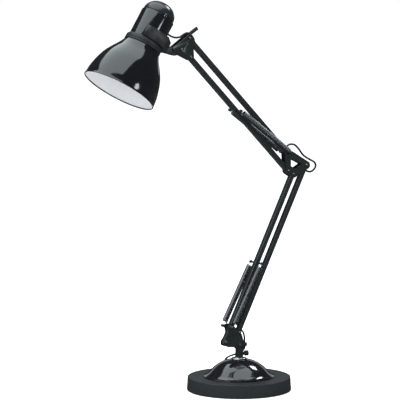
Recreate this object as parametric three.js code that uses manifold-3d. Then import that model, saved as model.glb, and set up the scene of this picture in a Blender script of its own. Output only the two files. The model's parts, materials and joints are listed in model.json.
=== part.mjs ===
// A swing-arm desk lamp: round weighted base, swivelling post, two parallelogram arms with
// tension springs, and a spun shade on a tilting, swivelling head. Millimetres, +Z up.
// The arms lie in the XZ plane and the head points to -X. The origin is under the base's centre.
import * as THREE from "three";
import { mergeVertices } from "three/addons/utils/BufferGeometryUtils.js";
import Module from "manifold-3d";

const wasm = await Module();
wasm.setup();

// ---- driving dimensions -------------------------------------------------------------------
const touchGap = 0.3;             // gap kept between pieces that touch
const roundSteps = 40;            // facets round a large turned piece
const smallSteps = 12;            // facets round a pin or a screw

const discRadius = 105;
const discHeight = 28;
const padRadius = 98;
const padHeight = 2;
const weightTop = 17;             // the casting under the disc is not full height
const sheetWall = 1.4;
const domeFootRadius = 72;
const domeTop = 63.5;
const flangeRadius = 14.8;
const flangeHeight = 1.3;
const spindleRadius = 5;
const sleeveOuter = 7.7;
const sleeveInner = 5.3;
const sleeveBottom = 65.2;
const sleeveTop = 86;
const spindleTop = 84;
const thumbScrewHeight = 73;

const railSize = 10;              // square tube of the arms
const railWall = 1;
const railOverhang = 4.8;         // tube beyond each pivot
const plateInner = 5.5;           // half the gap between two bracket plates
const plateThickness = 1.5;
const pivotRadius = 2.4;
const pivotHole = 2.75;
const leadHole = 3.1;              // holes in the tubes for the lead
const rivetHead = 3.5;
const rivetHeadHeight = 1.5;
const springReach = 22;           // half length of the pins that carry the springs
const springOffset = 18;          // spring axis from the arm's middle plane
const springRadius = 6.1;
const hookLength = 9;

const basePivot = [-35.7, 100.9]; // the left lower pivot, in x and z
const lowerLength = 369;
const lowerAngle = 63.3;
const lowerLink = [32.1, 16.4];   // from the left pivot to the right one, at both ends
const elbowStep = [-12.2, 7.4];   // from the left lower rail's top pivot to the upper arm's low pivot
const upperLength = 337;
const upperAngle = 134.9;
const upperLink = [-3.3, 37.6];   // from the low pivot to the top one, at both ends
const springAnchor = [8.5, 30.1]; // lower springs' stud, from the left lower pivot
const lowerSpringPin = 173;       // along the left lower rail
const upperSpringPin = 181;       // along the low upper rail
const tiltStep = [-21.8, 15.3];   // from the head's low pivot to its tilt bolt

const headTilt = 32.7;            // the shade's axis from the vertical
const headReach = 79.5;           // tilt bolt from the shade's axis
const tiltHeight = 139.2;         // tilt bolt above the shade's mouth, along the axis
const swivelHeight = 124;         // swivel axis above the mouth
const mouthRadius = 74.5;
const shadeHeight = 98;
const neckRadius = 37.2;
const shadeWall = 1.2;
const housingRadius = 34;
const housingWall = 2;
const housingBottom = 99;
const housingTop = 167;
const capBottom = 170;
const capTop = 195.5;
const capRadius = 32.5;
const clampRadius = 38.5;
const clampBottom = 112.4;
const clampTop = 135;
const clampFront = 133;           // degrees that the strap reaches round from the arm, in front
const clampBack = 105;            // and behind
const clampCheek = 22;            // where the clamp starts to taper towards its boss
const bossReach = 47;
const bossHalfWidth = 13;

const cordRadius = 2;
const coilCentre = [92, 137];     // x and y of the coil behind the base
const coilInner = 16;
const coilOuter = 28;
const coilHeight = 16;

// ---- materials ----------------------------------------------------------------------------
function finish(color, roughness, metalness) {
  return new THREE.MeshStandardMaterial({ color, roughness, metalness });
}
const glossBlack = finish(0x0b0c0e, 0.12, 0.1);
const satinCharcoal = finish(0x24262b, 0.5, 0.2);
const satinBlack = finish(0x101314, 0.4, 0.3);
const mouldedBlack = finish(0x17191b, 0.45, 0.0);
const brightSteel = finish(0x9a9c9e, 0.3, 1.0);
const springSteel = finish(0x2a2c2e, 0.35, 0.9);
const castIron = finish(0x3a3a3b, 0.8, 0.6);
const rubberBlack = finish(0x111111, 0.9, 0.0);
const cordBlack = finish(0x0d0d0e, 0.55, 0.0);
const bulbWhite = finish(0xf2f2ee, 0.2, 0.0);
const porcelain = finish(0xe6e2d8, 0.4, 0.0);

// ---- solids -------------------------------------------------------------------------------
// Turns a geometry into a manifold solid with merged corners and outward faces.
function solid(geometry) {
  const bare = geometry.clone();
  bare.deleteAttribute("normal");
  bare.deleteAttribute("uv");
  const merged = mergeVertices(bare, 1e-4);
  const place = merged.attributes.position.array;
  const corners = merged.index.array;
  const kept = [];
  for (let i = 0; i < corners.length; i += 3) {
    const [a, b, c] = [corners[i], corners[i + 1], corners[i + 2]];
    if (a !== b && b !== c && a !== c) kept.push(a, b, c);
  }
  if (signedVolume(place, kept) < 0) {
    for (let i = 0; i < kept.length; i += 3) [kept[i + 1], kept[i + 2]] = [kept[i + 2], kept[i + 1]];
  }
  return new wasm.Manifold(new wasm.Mesh({
    numProp: 3, vertProperties: new Float32Array(place), triVerts: new Uint32Array(kept),
  }));
}

function signedVolume(place, corners) {
  let sum = 0;
  const [a, b, c] = [new THREE.Vector3(), new THREE.Vector3(), new THREE.Vector3()];
  for (let i = 0; i < corners.length; i += 3) {
    a.fromArray(place, corners[i] * 3);
    b.fromArray(place, corners[i + 1] * 3);
    c.fromArray(place, corners[i + 2] * 3);
    sum += a.dot(b.cross(c));
  }
  return sum;
}

function geometryOf(body) {
  const mesh = body.getMesh();
  const geometry = new THREE.BufferGeometry();
  geometry.setAttribute("position", new THREE.BufferAttribute(new Float32Array(mesh.vertProperties), 3));
  geometry.setIndex(new THREE.BufferAttribute(new Uint32Array(mesh.triVerts), 1));
  return geometry;
}

function part(name, body, material) {
  const mesh = new THREE.Mesh(geometryOf(body), material);
  mesh.name = name;
  return mesh;
}

// A solid turned about Z from [radius, height] pairs, closed on itself or on the axis.
function turned(profile, steps = roundSteps) {
  const points = profile.map(([r, z]) => new THREE.Vector2(r, z));
  if (profile[0][0] > 0) points.push(points[0].clone());
  return solid(new THREE.LatheGeometry(points, steps).rotateX(Math.PI / 2));
}

// The same solid lying along Y, its profile's height becoming y.
function turnedAlongY(profile, x, z, steps = smallSteps) {
  return turned(profile, steps).rotate([-90, 0, 0]).translate([x, 0, z]);
}

// The same solid lying along X.
function turnedAlongX(profile, y, z, steps = smallSteps) {
  return turned(profile, steps).rotate([0, 90, 0]).translate([0, y, z]);
}

function box(low, high) {
  const size = high.map((value, i) => value - low[i]);
  const middle = high.map((value, i) => (value + low[i]) / 2);
  return solid(new THREE.BoxGeometry(...size)).translate(middle);
}

function rod(radius, from, to, steps = smallSteps) {
  return turned([[0, from], [radius, from], [radius, to], [0, to]], steps);
}

// A flat plate from an XZ outline, between two y values.
function plate(outline, yLow, yHigh, holes = []) {
  const shape = new THREE.Shape(outline.map(([x, z]) => new THREE.Vector2(x, z)));
  for (const hole of holes) shape.holes.push(new THREE.Path(hole.map(([x, z]) => new THREE.Vector2(x, z))));
  const depth = yHigh - yLow;
  const geometry = new THREE.ExtrudeGeometry(shape, { depth, bevelEnabled: false, steps: 1 });
  return solid(geometry.rotateX(Math.PI / 2)).translate([0, yHigh, 0]);
}

// A slab from an XY outline, between two heights.
function slab(outline, low, high) {
  const shape = new THREE.Shape(outline.map(([x, y]) => new THREE.Vector2(x, y)));
  const geometry = new THREE.ExtrudeGeometry(shape, { depth: high - low, bevelEnabled: false, steps: 1 });
  return solid(geometry).translate([0, 0, low]);
}

// The outline that a tight belt makes round discs given as [x, z, radius].
function belt(discs, steps = 20) {
  const points = [];
  for (const [x, z, r] of discs) {
    for (let i = 0; i < steps; i++) {
      const a = (i / steps) * 2 * Math.PI;
      points.push([x + r * Math.cos(a), z + r * Math.sin(a)]);
    }
  }
  points.sort((p, q) => p[0] - q[0] || p[1] - q[1]);
  const turn = (o, p, q) => (p[0] - o[0]) * (q[1] - o[1]) - (p[1] - o[1]) * (q[0] - o[0]);
  const half = (list) => {
    const kept = [];
    for (const p of list) {
      while (kept.length > 1 && turn(kept.at(-2), kept.at(-1), p) <= 1e-9) kept.pop();
      kept.push(p);
    }
    kept.pop();
    return kept;
  };
  return [...half(points), ...half(points.slice().reverse())];
}

// A tube of round section along a smooth curve through points.
function tubeAlong(points, radius, steps, sides = 8) {
  const curve = new THREE.CatmullRomCurve3(points.map((p) => new THREE.Vector3(...p)), false, "centripetal");
  const section = new THREE.Shape();
  for (let i = 0; i < sides; i++) {
    const a = (i / sides) * 2 * Math.PI;
    const [u, v] = [radius * Math.cos(a), radius * Math.sin(a)];
    if (i === 0) section.moveTo(u, v);
    else section.lineTo(u, v);
  }
  return solid(new THREE.ExtrudeGeometry(section, { steps, extrudePath: curve, bevelEnabled: false }));
}

const radians = (degrees) => (degrees * Math.PI) / 180;
const along = ([x, z], angle, distance) => [
  x + distance * Math.cos(radians(angle)), z + distance * Math.sin(radians(angle))];
const plus = ([x, z], [dx, dz]) => [x + dx, z + dz];

// ---- pivots -------------------------------------------------------------------------------
const lowerLeft = basePivot;
const lowerRight = plus(lowerLeft, lowerLink);
const elbowLeft = along(lowerLeft, lowerAngle, lowerLength);
const elbowRight = plus(elbowLeft, lowerLink);
const elbowLow = plus(elbowLeft, elbowStep);
const elbowTop = plus(elbowLow, upperLink);
const headLow = along(elbowLow, upperAngle, upperLength);
const headTop = plus(headLow, upperLink);
const tiltBolt = plus(headLow, tiltStep);
const lowerStud = plus(lowerLeft, springAnchor);
const lowerSpringEnd = along(lowerLeft, lowerAngle, lowerSpringPin);
const upperSpringEnd = along(elbowLow, upperAngle, upperSpringPin);

// ---- base ---------------------------------------------------------------------------------
function basePad() {
  return part("base_pad", rod(padRadius, 0, padHeight, roundSteps), rubberBlack);
}

function baseShell() {
  const round = 2.5;
  const outer = discRadius;
  const inner = outer - sheetWall;
  const profile = [
    [outer - 0.6, 1], [outer, 2], [outer, discHeight - round], [outer - 0.8, discHeight - 0.8],
    [outer - round, discHeight], [8, discHeight], [8, discHeight - sheetWall],
    [inner - 1.5, discHeight - sheetWall], [inner, discHeight - round], [inner, 1],
  ];
  return part("base_shell", turned(profile), satinCharcoal);
}

function baseWeight() {
  const outer = discRadius - sheetWall - 1;
  const top = weightTop;
  const low = padHeight + touchGap;
  const profile = [
    [14, low], [outer - 1, low], [outer, low + 1], [outer, top - 2], [outer - 2, top],
    [6.4, top], [6.4, 14], [14, 14],
  ];
  return part("base_weight", turned(profile, 36), castIron);
}

// The dome's outside, from the foot's lip up to the hole for the spindle.
function domeProfile(inset) {
  const crown = [[59, 38.4], [51, 46.2], [42, 53], [31, 58.8], [18, 62.4], [6.4, domeTop]];
  const foot = [[domeFootRadius, 29.4], [67, 31.6], [63, 34.4]];
  return [...foot, ...crown].map(([r, z]) => [r, z - inset]);
}

function domeCover() {
  const floor = discHeight + touchGap;
  const outside = domeProfile(0);
  const inside = domeProfile(sheetWall).slice(1).reverse();
  const profile = [[domeFootRadius, floor], ...outside, ...inside, [66, floor]];
  return part("dome_cover", turned(profile), glossBlack);
}

function spindle() {
  const flangeLow = domeTop + touchGap;
  const profile = [
    [0, 5], [4.6, 5], [5.4, 6], [5.4, flangeLow], [flangeRadius, flangeLow],
    [flangeRadius - 0.4, flangeLow + flangeHeight - 0.3], [spindleRadius + 4, flangeLow + flangeHeight],
    [spindleRadius, flangeLow + flangeHeight], [spindleRadius, spindleTop - 1], [spindleRadius - 1, spindleTop],
    [0, spindleTop],
  ];
  return part("spindle", turned(profile, 24), satinBlack);
}

function hexNut(name, acrossCorners, hole, low, high, material) {
  const profile = [[hole, low], [acrossCorners, low], [acrossCorners, high], [hole, high]];
  return part(name, turned(profile, 6).subtract(rod(hole + 0.2, low - 1, high + 1, 24)), material);
}

function makeBase() {
  const group = new THREE.Group();
  group.add(basePad(), baseShell(), baseWeight(), domeCover(), spindle());
  group.add(hexNut("spindle_nut", 11, 5.6, 7, 13.6, brightSteel));
  return group;
}

// ---- pins and rivets ----------------------------------------------------------------------
// A riveted pivot pin across two plates; a long one carries a spring end on each side.
function pivotPin(name, [x, z], reach, material = brightSteel) {
  const face = plateInner + plateThickness + touchGap;
  const top = face + rivetHeadHeight;
  const side = [[pivotRadius, -face], [pivotRadius, face], [rivetHead, face], [rivetHead, top - 0.7], [2.6, top]];
  const far = reach > top ? [[2, top], [2, reach - 1.2], [3.1, reach - 1.2], [3.1, reach], [0, reach]] : [[0, top]];
  const upper = [...side.slice(1), ...far];
  const lower = upper.map(([r, y]) => [r, -y]).reverse();
  return part(name, turnedAlongY([...lower, ...upper], x, z), material);
}

// A pin that a rail carries, with a collar that keeps each spring end in place.
function springPin(name, [x, z]) {
  const half = [[2, 0], [2, springReach - 1.2], [3.1, springReach - 1.2], [3.1, springReach], [0, springReach]];
  const lower = half.slice(1).map(([r, y]) => [r, -y]).reverse();
  return part(name, turnedAlongY([...lower, ...half.slice(1)], x, z), brightSteel);
}

// A stud on the outside of one bracket plate.
function springStud(name, [x, z], side) {
  const root = plateInner + plateThickness + touchGap;
  const profile = [
    [0, root], [3.6, root], [3.6, root + 1.5], [2, root + 1.5], [2, springReach - 1.2],
    [3.1, springReach - 1.2], [3.1, springReach], [0, springReach],
  ].map(([r, y]) => [r, side * y]);
  return part(name, turnedAlongY(profile, x, z), brightSteel);
}

// ---- swivelling post and base bracket -----------------------------------------------------
function swivelPost() {
  const sleeve = turned([
    [sleeveInner, sleeveBottom], [sleeveOuter - 0.5, sleeveBottom], [sleeveOuter, sleeveBottom + 0.5],
    [sleeveOuter, sleeveTop], [sleeveInner, sleeveTop],
  ], 24);
  const block = box([-9, -5.2, sleeveTop - 1], [6, 5.2, 96]);
  const screwHole = rod(2.6, -20, 20).rotate([90, 0, 0]).translate([-2, 0, 91.5]);
  const thumbHole = rod(2.2, 4, 12).rotate([0, 90, 0]).translate([0, 0, thumbScrewHeight]);
  return part("swivel_post", sleeve.add(block).subtract(screwHole).subtract(thumbHole), satinBlack);
}

function bracketOutline() {
  const [x, z] = lowerLeft;
  return [
    [x - 4.5, z - 6.5], [x - 5.2, z - 1], [x - 3.5, z + 3.5], [x + 1.5, z + 8], [x + 4.6, z + 13],
    [x + 6, z + 19], [x + 5, z + 24.5], [x + 3.8, z + 29], [x + 4.8, z + 34], [x + 9, z + 36.5], [x + 15, z + 35],
    [x + 24, z + 26.5], [x + 38.5, z + 12.5], [x + 42.5, z - 4], [x + 40, z - 12], [x + 34, z - 14.5],
    [x + 22, z - 12.5], [x + 4, z - 10.5],
  ];
}

function bracketPlate(name, side) {
  const [near, far] = [side * plateInner, side * (plateInner + plateThickness)];
  let body = plate(bracketOutline(), Math.min(near, far), Math.max(near, far));
  for (const [x, z] of [lowerLeft, lowerRight]) body = body.subtract(acrossHole(pivotHole, x, z));
  body = body.subtract(acrossHole(2.6, -2, 91.5));
  return part(name, body, satinBlack);
}

function acrossHole(radius, x, z) {
  return rod(radius, -40, 40, 12).rotate([90, 0, 0]).translate([x, 0, z]);
}

function bracketScrew() {
  const face = plateInner + plateThickness + touchGap;
  const profile = [
    [0, -face - 2], [3.4, -face - 1.6], [3.8, -face - 0.9], [3.8, -face], [2.1, -face],
    [2.1, face], [3.8, face], [3.8, face + 1.8], [0, face + 1.8],
  ];
  return part("bracket_screw", turnedAlongY(profile, -2, 91.5), brightSteel);
}

// The block that grips the mains lead beside the post.
function cordGland() {
  const block = box([7, -1, 87.2], [19.5, 10, 94.8]);
  const hole = rod(2.4, 80, 100).translate([15.5, 4.2, 0]);
  return part("cord_gland", block.subtract(hole), mouldedBlack);
}

function strainRelief() {
  const reliefRoute = [[15.5, 4.2, 86.7], [15.5, 4.3, 84.8], [15.2, 5.7, 81.4], [14.2, 7.9, 77.6], [12.1, 11, 74]];
  return part("strain_relief", tubeAlong(reliefRoute, 2.9, 10, 10), mouldedBlack);
}

function makeTurret() {
  const group = new THREE.Group();
  group.add(swivelPost(), bracketPlate("bracket_plate_front", -1), bracketPlate("bracket_plate_back", 1));
  group.add(bracketScrew(), pivotPin("pivot_lower_left", lowerLeft, 0), pivotPin("pivot_lower_right", lowerRight, 0));
  group.add(springStud("spring_stud_front", lowerStud, -1), springStud("spring_stud_back", lowerStud, 1));
  group.add(cordGland(), strainRelief());
  return group;
}

function thumbScrew() {
  const profile = [
    [0, 5.6], [1.9, 5.6], [1.9, 13], [3.2, 13], [3.2, 14.5], [5.2, 14.5], [5.7, 15.2], [5.7, 20.4],
    [5.2, 21], [0, 21],
  ];
  return part("thumb_screw", turnedAlongX(profile, 0, thumbScrewHeight, 16), mouldedBlack);
}

// ---- arms ---------------------------------------------------------------------------------
// A square tube from one pivot to another, with holes across for pins and, on its outer side,
// for the lead. Positions are measured along the tube from the first pivot.
function rail(name, [x, z], angle, length, pins, leads) {
  const [outer, inner] = [railSize / 2, railSize / 2 - railWall];
  const cut = 1.2;
  const section = new THREE.Shape();
  const ring = [
    [outer - cut, -outer], [outer, cut - outer], [outer, outer - cut], [outer - cut, outer],
    [cut - outer, outer], [-outer, outer - cut], [-outer, cut - outer], [cut - outer, -outer],
  ];
  ring.forEach(([u, v], i) => (i === 0 ? section.moveTo(u, v) : section.lineTo(u, v)));
  const total = length + 2 * railOverhang;
  const bar = solid(new THREE.ExtrudeGeometry(section, { depth: total, bevelEnabled: false }))
    .rotate([0, 90, 0]).translate([-railOverhang, 0, 0]);
  let body = bar.subtract(box([-railOverhang - 1, -inner, -inner], [total, inner, inner]));
  for (const [at, radius] of pins) body = body.subtract(acrossHole(radius, at, 0));
  for (const at of leads) body = body.subtract(rod(leadHole, -outer - 2, 0, 12).translate([at, 0, 0]));
  const mesh = part(name, body, satinBlack);
  mesh.position.set(x, 0, z);
  mesh.rotation.y = -radians(angle);
  return mesh;
}

// A close-wound tension spring drawn as its outer shape, with a thin neck to each pin.
function spring(name, from, to, side) {
  const [dx, dz] = [to[0] - from[0], to[1] - from[1]];
  const length = Math.hypot(dx, dz);
  const clear = 2 + touchGap;
  const profile = [
    [0, clear], [1.2, clear], [1.2, hookLength - 2], [springRadius, hookLength],
    [springRadius, length - hookLength], [1.2, length - hookLength + 2], [1.2, length - clear], [0, length - clear],
  ];
  const body = turned(profile, 16).rotate([0, 90, 0]);
  const mesh = part(name, body, springSteel);
  mesh.position.set(from[0], side * springOffset, from[1]);
  mesh.rotation.y = -Math.atan2(dz, dx);
  return mesh;
}

function makeLowerArm() {
  const group = new THREE.Group();
  const leftPins = [[0, pivotHole], [lowerSpringPin, 2.3], [lowerLength, pivotHole]];
  const rightPins = [[0, pivotHole], [lowerLength, pivotHole]];
  group.add(rail("lower_rail_left", lowerLeft, lowerAngle, lowerLength, leftPins, []));
  group.add(rail("lower_rail_right", lowerRight, lowerAngle, lowerLength, rightPins, [7, lowerLength - 9]));
  group.add(springPin("lower_spring_pin", lowerSpringEnd));
  for (const [side, where] of [[-1, "front"], [1, "back"]]) {
    group.add(spring(`lower_spring_${where}`, lowerStud, lowerSpringEnd, side));
  }
  return group;
}

function makeUpperArm() {
  const group = new THREE.Group();
  const lowPins = [[0, pivotHole], [upperSpringPin, 2.3], [upperLength, pivotHole]];
  const topPins = [[0, pivotHole], [upperLength, pivotHole]];
  group.add(rail("upper_rail_low", elbowLow, upperAngle, upperLength, lowPins, []));
  group.add(rail("upper_rail_top", elbowTop, upperAngle, upperLength, topPins, [7, upperLength - 14]));
  group.add(springPin("upper_spring_pin", upperSpringEnd));
  for (const [side, where] of [[-1, "front"], [1, "back"]]) {
    group.add(spring(`upper_spring_${where}`, elbowTop, upperSpringEnd, side));
  }
  return group;
}

// ---- elbow --------------------------------------------------------------------------------
function elbowPlate(name, side) {
  const [near, far] = [side * plateInner, side * (plateInner + plateThickness)];
  const outline = belt([[...elbowTop, 7.5], [...elbowRight, 8.2], [...elbowLeft, 7.5], [...elbowLow, 7.5]]);
  const [x, z] = elbowLow;
  const window = [[x + 4.5, z + 25], [x + 4.5, z + 9.5], [x + 15, z + 3.6], [x + 31, z + 12.2]];
  let body = plate(outline, Math.min(near, far), Math.max(near, far), [window]);
  for (const [px, pz] of [elbowTop, elbowRight, elbowLeft, elbowLow]) {
    body = body.subtract(acrossHole(pivotHole, px, pz));
  }
  return part(name, body, satinBlack);
}

function makeElbow() {
  const group = new THREE.Group();
  group.add(elbowPlate("elbow_plate_front", -1), elbowPlate("elbow_plate_back", 1));
  group.add(pivotPin("pivot_elbow_top", elbowTop, springReach), pivotPin("pivot_elbow_low", elbowLow, 0));
  group.add(pivotPin("pivot_elbow_left", elbowLeft, 0), pivotPin("pivot_elbow_right", elbowRight, 0));
  return group;
}

// ---- head bracket -------------------------------------------------------------------------
function headPlate(name, side) {
  const [near, far] = [side * plateInner, side * (plateInner + plateThickness)];
  const nose = plus(tiltBolt, [-15.5, 1.5]);
  const outline = belt([[...headTop, 7.5], [...headLow, 6.8], [...nose, 6]]);
  let body = plate(outline, Math.min(near, far), Math.max(near, far));
  for (const [x, z] of [headTop, headLow, tiltBolt]) body = body.subtract(acrossHole(pivotHole, x, z));
  const [dx, dz] = plus(tiltBolt, [11.5, 11.4]);
  body = body.subtract(acrossHole(1.9, dx, dz));
  return part(name, body, satinBlack);
}

function plateSpacer() {
  const face = plateInner + plateThickness + touchGap;
  const [x, z] = plus(tiltBolt, [11.5, 11.4]);
  const half = [[2.9, 5.1], [1.6, 5.1], [1.6, face], [2.4, face], [2.4, face + 0.9], [0, face + 0.9]];
  const lower = half.map(([r, y]) => [r, -y]).reverse();
  return part("plate_spacer", turnedAlongY([...lower, ...half], x, z, 10), brightSteel);
}

// The bolt through the head's top pivot, on which the wing knob is tightened.
function knobBolt() {
  const face = plateInner + plateThickness + touchGap;
  const profile = [
    [0, -face - 1.5], [3, -face - 1.5], [4, -face - 0.7], [4, -face], [pivotRadius, -face],
    [pivotRadius, 19], [0, 19],
  ];
  return part("knob_bolt", turnedAlongY(profile, ...headTop), brightSteel);
}

function makeHeadBracket() {
  const group = new THREE.Group();
  group.add(headPlate("head_plate_front", -1), headPlate("head_plate_back", 1), plateSpacer());
  group.add(knobBolt(), pivotPin("pivot_head_low", headLow, 0), pivotPin("tilt_bolt", tiltBolt, 0));
  return group;
}

// A wing knob on the back end of its bolt.
function wingKnob() {
  const [low, high] = [plateInner + plateThickness + touchGap, 17];
  const hub = turned([[2.8, low], [6, low], [5.4, high], [2.8, high]], 16).rotate([-90, 0, 0]);
  const wingLength = 35;
  const wing = plate([[2, -3.2], [wingLength - 1.5, -3.9], [wingLength, -2.4], [wingLength, 2.4],
    [wingLength - 1.5, 3.9], [2, 3.2]], low + 2, low + 6.4);
  const bore = rod(2.8, -30, 30, 16).rotate([90, 0, 0]);
  const body = hub.add(wing).add(wing.rotate([0, 180, 0])).subtract(bore);
  const mesh = part("wing_knob", body, mouldedBlack);
  mesh.position.set(headTop[0], 0, headTop[1]);
  mesh.rotation.y = -radians(31.5);
  return mesh;
}

// ---- head, in its own frame: origin at the mouth's centre, +Z up the axis, +X to the arm ----
function shade() {
  const outside = [
    [mouthRadius, 0], [73.6, 14], [71, 28], [66.8, 43], [60.8, 58], [52, 73], [43.5, 86],
    [neckRadius, shadeHeight],
  ];
  const inside = outside.map(([r, z]) => [r - shadeWall, z]).reverse();
  const flange = [[21.5, shadeHeight], [21.5, shadeHeight - shadeWall], [neckRadius - shadeWall, shadeHeight - shadeWall]];
  return part("shade", turned([...outside, ...flange, ...inside.slice(1)]), glossBlack);
}

function shadeRing() {
  const top = shadeHeight - shadeWall - touchGap;
  const profile = [[19.4, top - 4], [24, top - 4], [24.6, top - 3], [24.6, top], [19.4, top]];
  return part("shade_ring", turned(profile, 24), porcelain);
}

function collarRing() {
  const low = housingBottom;
  const inner = housingRadius + 0.4;
  const profile = [
    [inner, low], [neckRadius + 0.9, low], [neckRadius + 1.2, low + 1], [neckRadius + 1.2, low + 2.4],
    [neckRadius + 0.2, low + 3.2], [neckRadius + 0.2, low + 9.4], [36, low + 12], [inner, low + 12.8],
  ];
  return part("collar_ring", turned(profile), satinCharcoal);
}

function housing() {
  const inner = housingRadius - housingWall;
  const profile = [
    [inner - 10, housingBottom], [housingRadius, housingBottom], [housingRadius, housingTop - 0.6],
    [housingRadius - 0.6, housingTop], [inner, housingTop], [inner, housingBottom + 2], [inner - 10, housingBottom + 2],
  ];
  const swivelHole = rod(4.5, 20, 60).rotate([0, 90, 0]).translate([0, 0, swivelHeight]);
  const leadOutlet = rod(leadHole, 20, 60).rotate([0, 90, 0]).translate([0, 3, 150]);
  const switchHole = rod(3.4, 20, 60).rotate([-90, 0, 0]).translate([-6, 0, 151.5]);
  const body = turned(profile, 36).subtract(swivelHole).subtract(leadOutlet).subtract(switchHole);
  return part("housing", body, glossBlack);
}

function housingCap() {
  const rise = capTop - capBottom;
  const dome = (radius, height) => Array.from({ length: 7 }, (_, i) => {
    const a = (i / 6) * (Math.PI / 2);
    return [i === 6 ? 0 : radius * Math.cos(a) ** 0.9, capBottom + height * Math.sin(a)];
  });
  const spigot = housingRadius - housingWall - 1.6;
  const outside = dome(capRadius, rise);
  const inside = dome(spigot - 2, rise - 2.4).reverse();
  const foot = housingTop - 4;
  const profile = [[spigot - 2, foot], [spigot, foot], [spigot, capBottom], ...outside, ...inside];
  return part("housing_cap", closedTurn(profile), glossBlack);
}

// A turned shell whose profile touches the axis twice, at its crown's outside and inside.
function closedTurn(profile) {
  const first = profile.findIndex(([r]) => r === 0);
  const turnedRound = [...profile.slice(first + 1), ...profile.slice(0, first + 1)];
  return turned(turnedRound, 28);
}

function headClamp() {
  const [inner, outer] = [housingRadius + touchGap, clampRadius];
  const steps = 32;
  const angles = Array.from({ length: steps + 1 }, (_, i) => (
    radians(-clampFront + ((clampFront + clampBack) * i) / steps)));
  const arc = (radius) => angles.map((a) => [radius * Math.cos(a), radius * Math.sin(a)]);
  const strap = slab([...arc(outer), ...arc(inner).reverse()], clampBottom, clampTop);
  const cheeks = slab([
    [0, -outer], [clampCheek, -outer], [bossReach, -bossHalfWidth], [bossReach, bossHalfWidth],
    [clampCheek, outer], [0, outer],
  ], clampBottom, clampTop);
  const bore = rod(inner, clampBottom - 1, clampTop + 1, 40);
  const swivelHole = rod(4.5, 20, 60).rotate([0, 90, 0]).translate([0, 0, swivelHeight]);
  return part("head_clamp", strap.add(cheeks.subtract(bore)).subtract(swivelHole), mouldedBlack);
}

function lampHolder() {
  const profile = [
    [14.2, 93], [18.8, 93], [18.8, 128], [17, 134], [17, 140], [0, 140], [0, 130], [14.2, 130],
  ];
  return part("lamp_holder", closedTurn(profile), porcelain);
}

function bulbCap() {
  const profile = [[0, 128.5], [4, 128.5], [8, 126], [12.6, 124], [12.6, 104.4], [0, 104.4]];
  return part("bulb_cap", turned(profile, 16), brightSteel);
}

function bulbGlass() {
  const profile = [
    [0, 104], [12.4, 104], [12.7, 96], [13.6, 92], [18, 83], [24.5, 72], [28.8, 61], [30, 51], [27.4, 40],
    [20.5, 31], [10.5, 26], [0, 25],
  ];
  return part("bulb_glass", turned(profile, 20), bulbWhite);
}

function holderPlate() {
  const inner = housingRadius - housingWall - 0.5;
  return part("holder_plate", turned([[3, 140.4], [inner, 140.4], [inner, 141.9], [3, 141.9]], 24), brightSteel);
}

function switchBody() {
  return part("switch_body", box([-12, 16, 144.5], [0, 29, 156.9]), mouldedBlack);
}

function switchKnob() {
  const profile = [
    [0, 29.4], [2.8, 29.4], [2.8, 35], [6.6, 35], [6.6, 36], [5.8, 43.5], [4.8, 44.5], [0, 44.5],
  ];
  return part("switch_knob", turnedAlongY(profile, -6, 151.5, 16), mouldedBlack);
}

function headStem() {
  const shank = rod(4.2, 29.5, bossReach + 2, 12).rotate([0, 90, 0]).translate([0, 0, swivelHeight]);
  const start = bossReach + touchGap;
  const [pinX, pinZ] = [headReach, tiltHeight];
  const tongue = belt([[pinX, pinZ, 8], [start + 2, swivelHeight + 1, 2], [start + 2, swivelHeight - 8, 2],
    [pinX - 9, pinZ - 14, 4.5]]);
  const body = plate(tongue, -4.9, 4.9).add(shank).subtract(acrossHole(pivotHole, pinX, pinZ));
  return part("head_stem", body, mouldedBlack);
}

function makeHead() {
  const group = new THREE.Group();
  group.add(shade(), shadeRing(), collarRing(), housing(), housingCap(), headClamp());
  group.add(lampHolder(), bulbCap(), bulbGlass(), holderPlate(), switchBody(), switchKnob());
  group.add(headStem());
  const tilt = radians(headTilt);
  const [x, z] = tiltBolt;
  group.rotation.y = tilt;
  group.position.set(
    x - headReach * Math.cos(tilt) - tiltHeight * Math.sin(tilt), 0,
    z + headReach * Math.sin(tilt) - tiltHeight * Math.cos(tilt),
  );
  return group;
}

// ---- leads and the mains cord -------------------------------------------------------------
function makeLeads() {
  const group = new THREE.Group();
  const [ax, az] = elbowTop;
  const elbowRoute = [
    [-3.2, 6.7], [-1.4, 8.5], [2.2, 12], [8.4, 15.4], [16.5, 15.4], [24, 12.4], [33, 3.5], [41, -6],
    [49.5, -12.6], [60, -18.2], [70, -23.4], [74.4, -29.5], [73, -35.6], [67.3, -41], [60.4, -43.2],
    [53.8, -41.8], [48, -38.9], [45.9, -37.9],
  ].map(([x, z]) => [ax + x, 0, az + z]);
  group.add(part("elbow_lead", tubeAlong(elbowRoute, cordRadius, 26), cordBlack));
  const [hx, hz] = headTop;
  const headRoute = [
    [-48.5, 4, 12], [-43, 3.8, 7.6], [-36, 3, 3.8], [-28, 1.5, 1.6], [-19, 0, 2.6], [-11.5, 0, 6.6], [-4.6, 0, 9.6],
    [1.8, 0, 9], [7.2, 0, 5.6], [11.4, 0, 1], [13.9, 0, -3.4], [13.9, 0, -7.4], [12.2, 0, -9.8],
  ].map(([x, y, z]) => [hx + x, y, hz + z]);
  group.add(part("head_lead", tubeAlong(headRoute, cordRadius, 20), cordBlack));
  const [bx, bz] = lowerRight;
  const lowerRoute = [
    [4.9, 5.35], [7.6, 4], [11.2, 2], [14.8, -1.8], [17.2, -7.4], [18.7, -13.8], [19.1, -19.4], [19.1, -22.2],
  ].map(([x, z], i) => [bx + x, (4.2 * Math.max(0, i - 1)) / 6, bz + z]);
  group.add(part("lower_lead", tubeAlong(lowerRoute, cordRadius, 9), cordBlack));
  return group;
}

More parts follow.
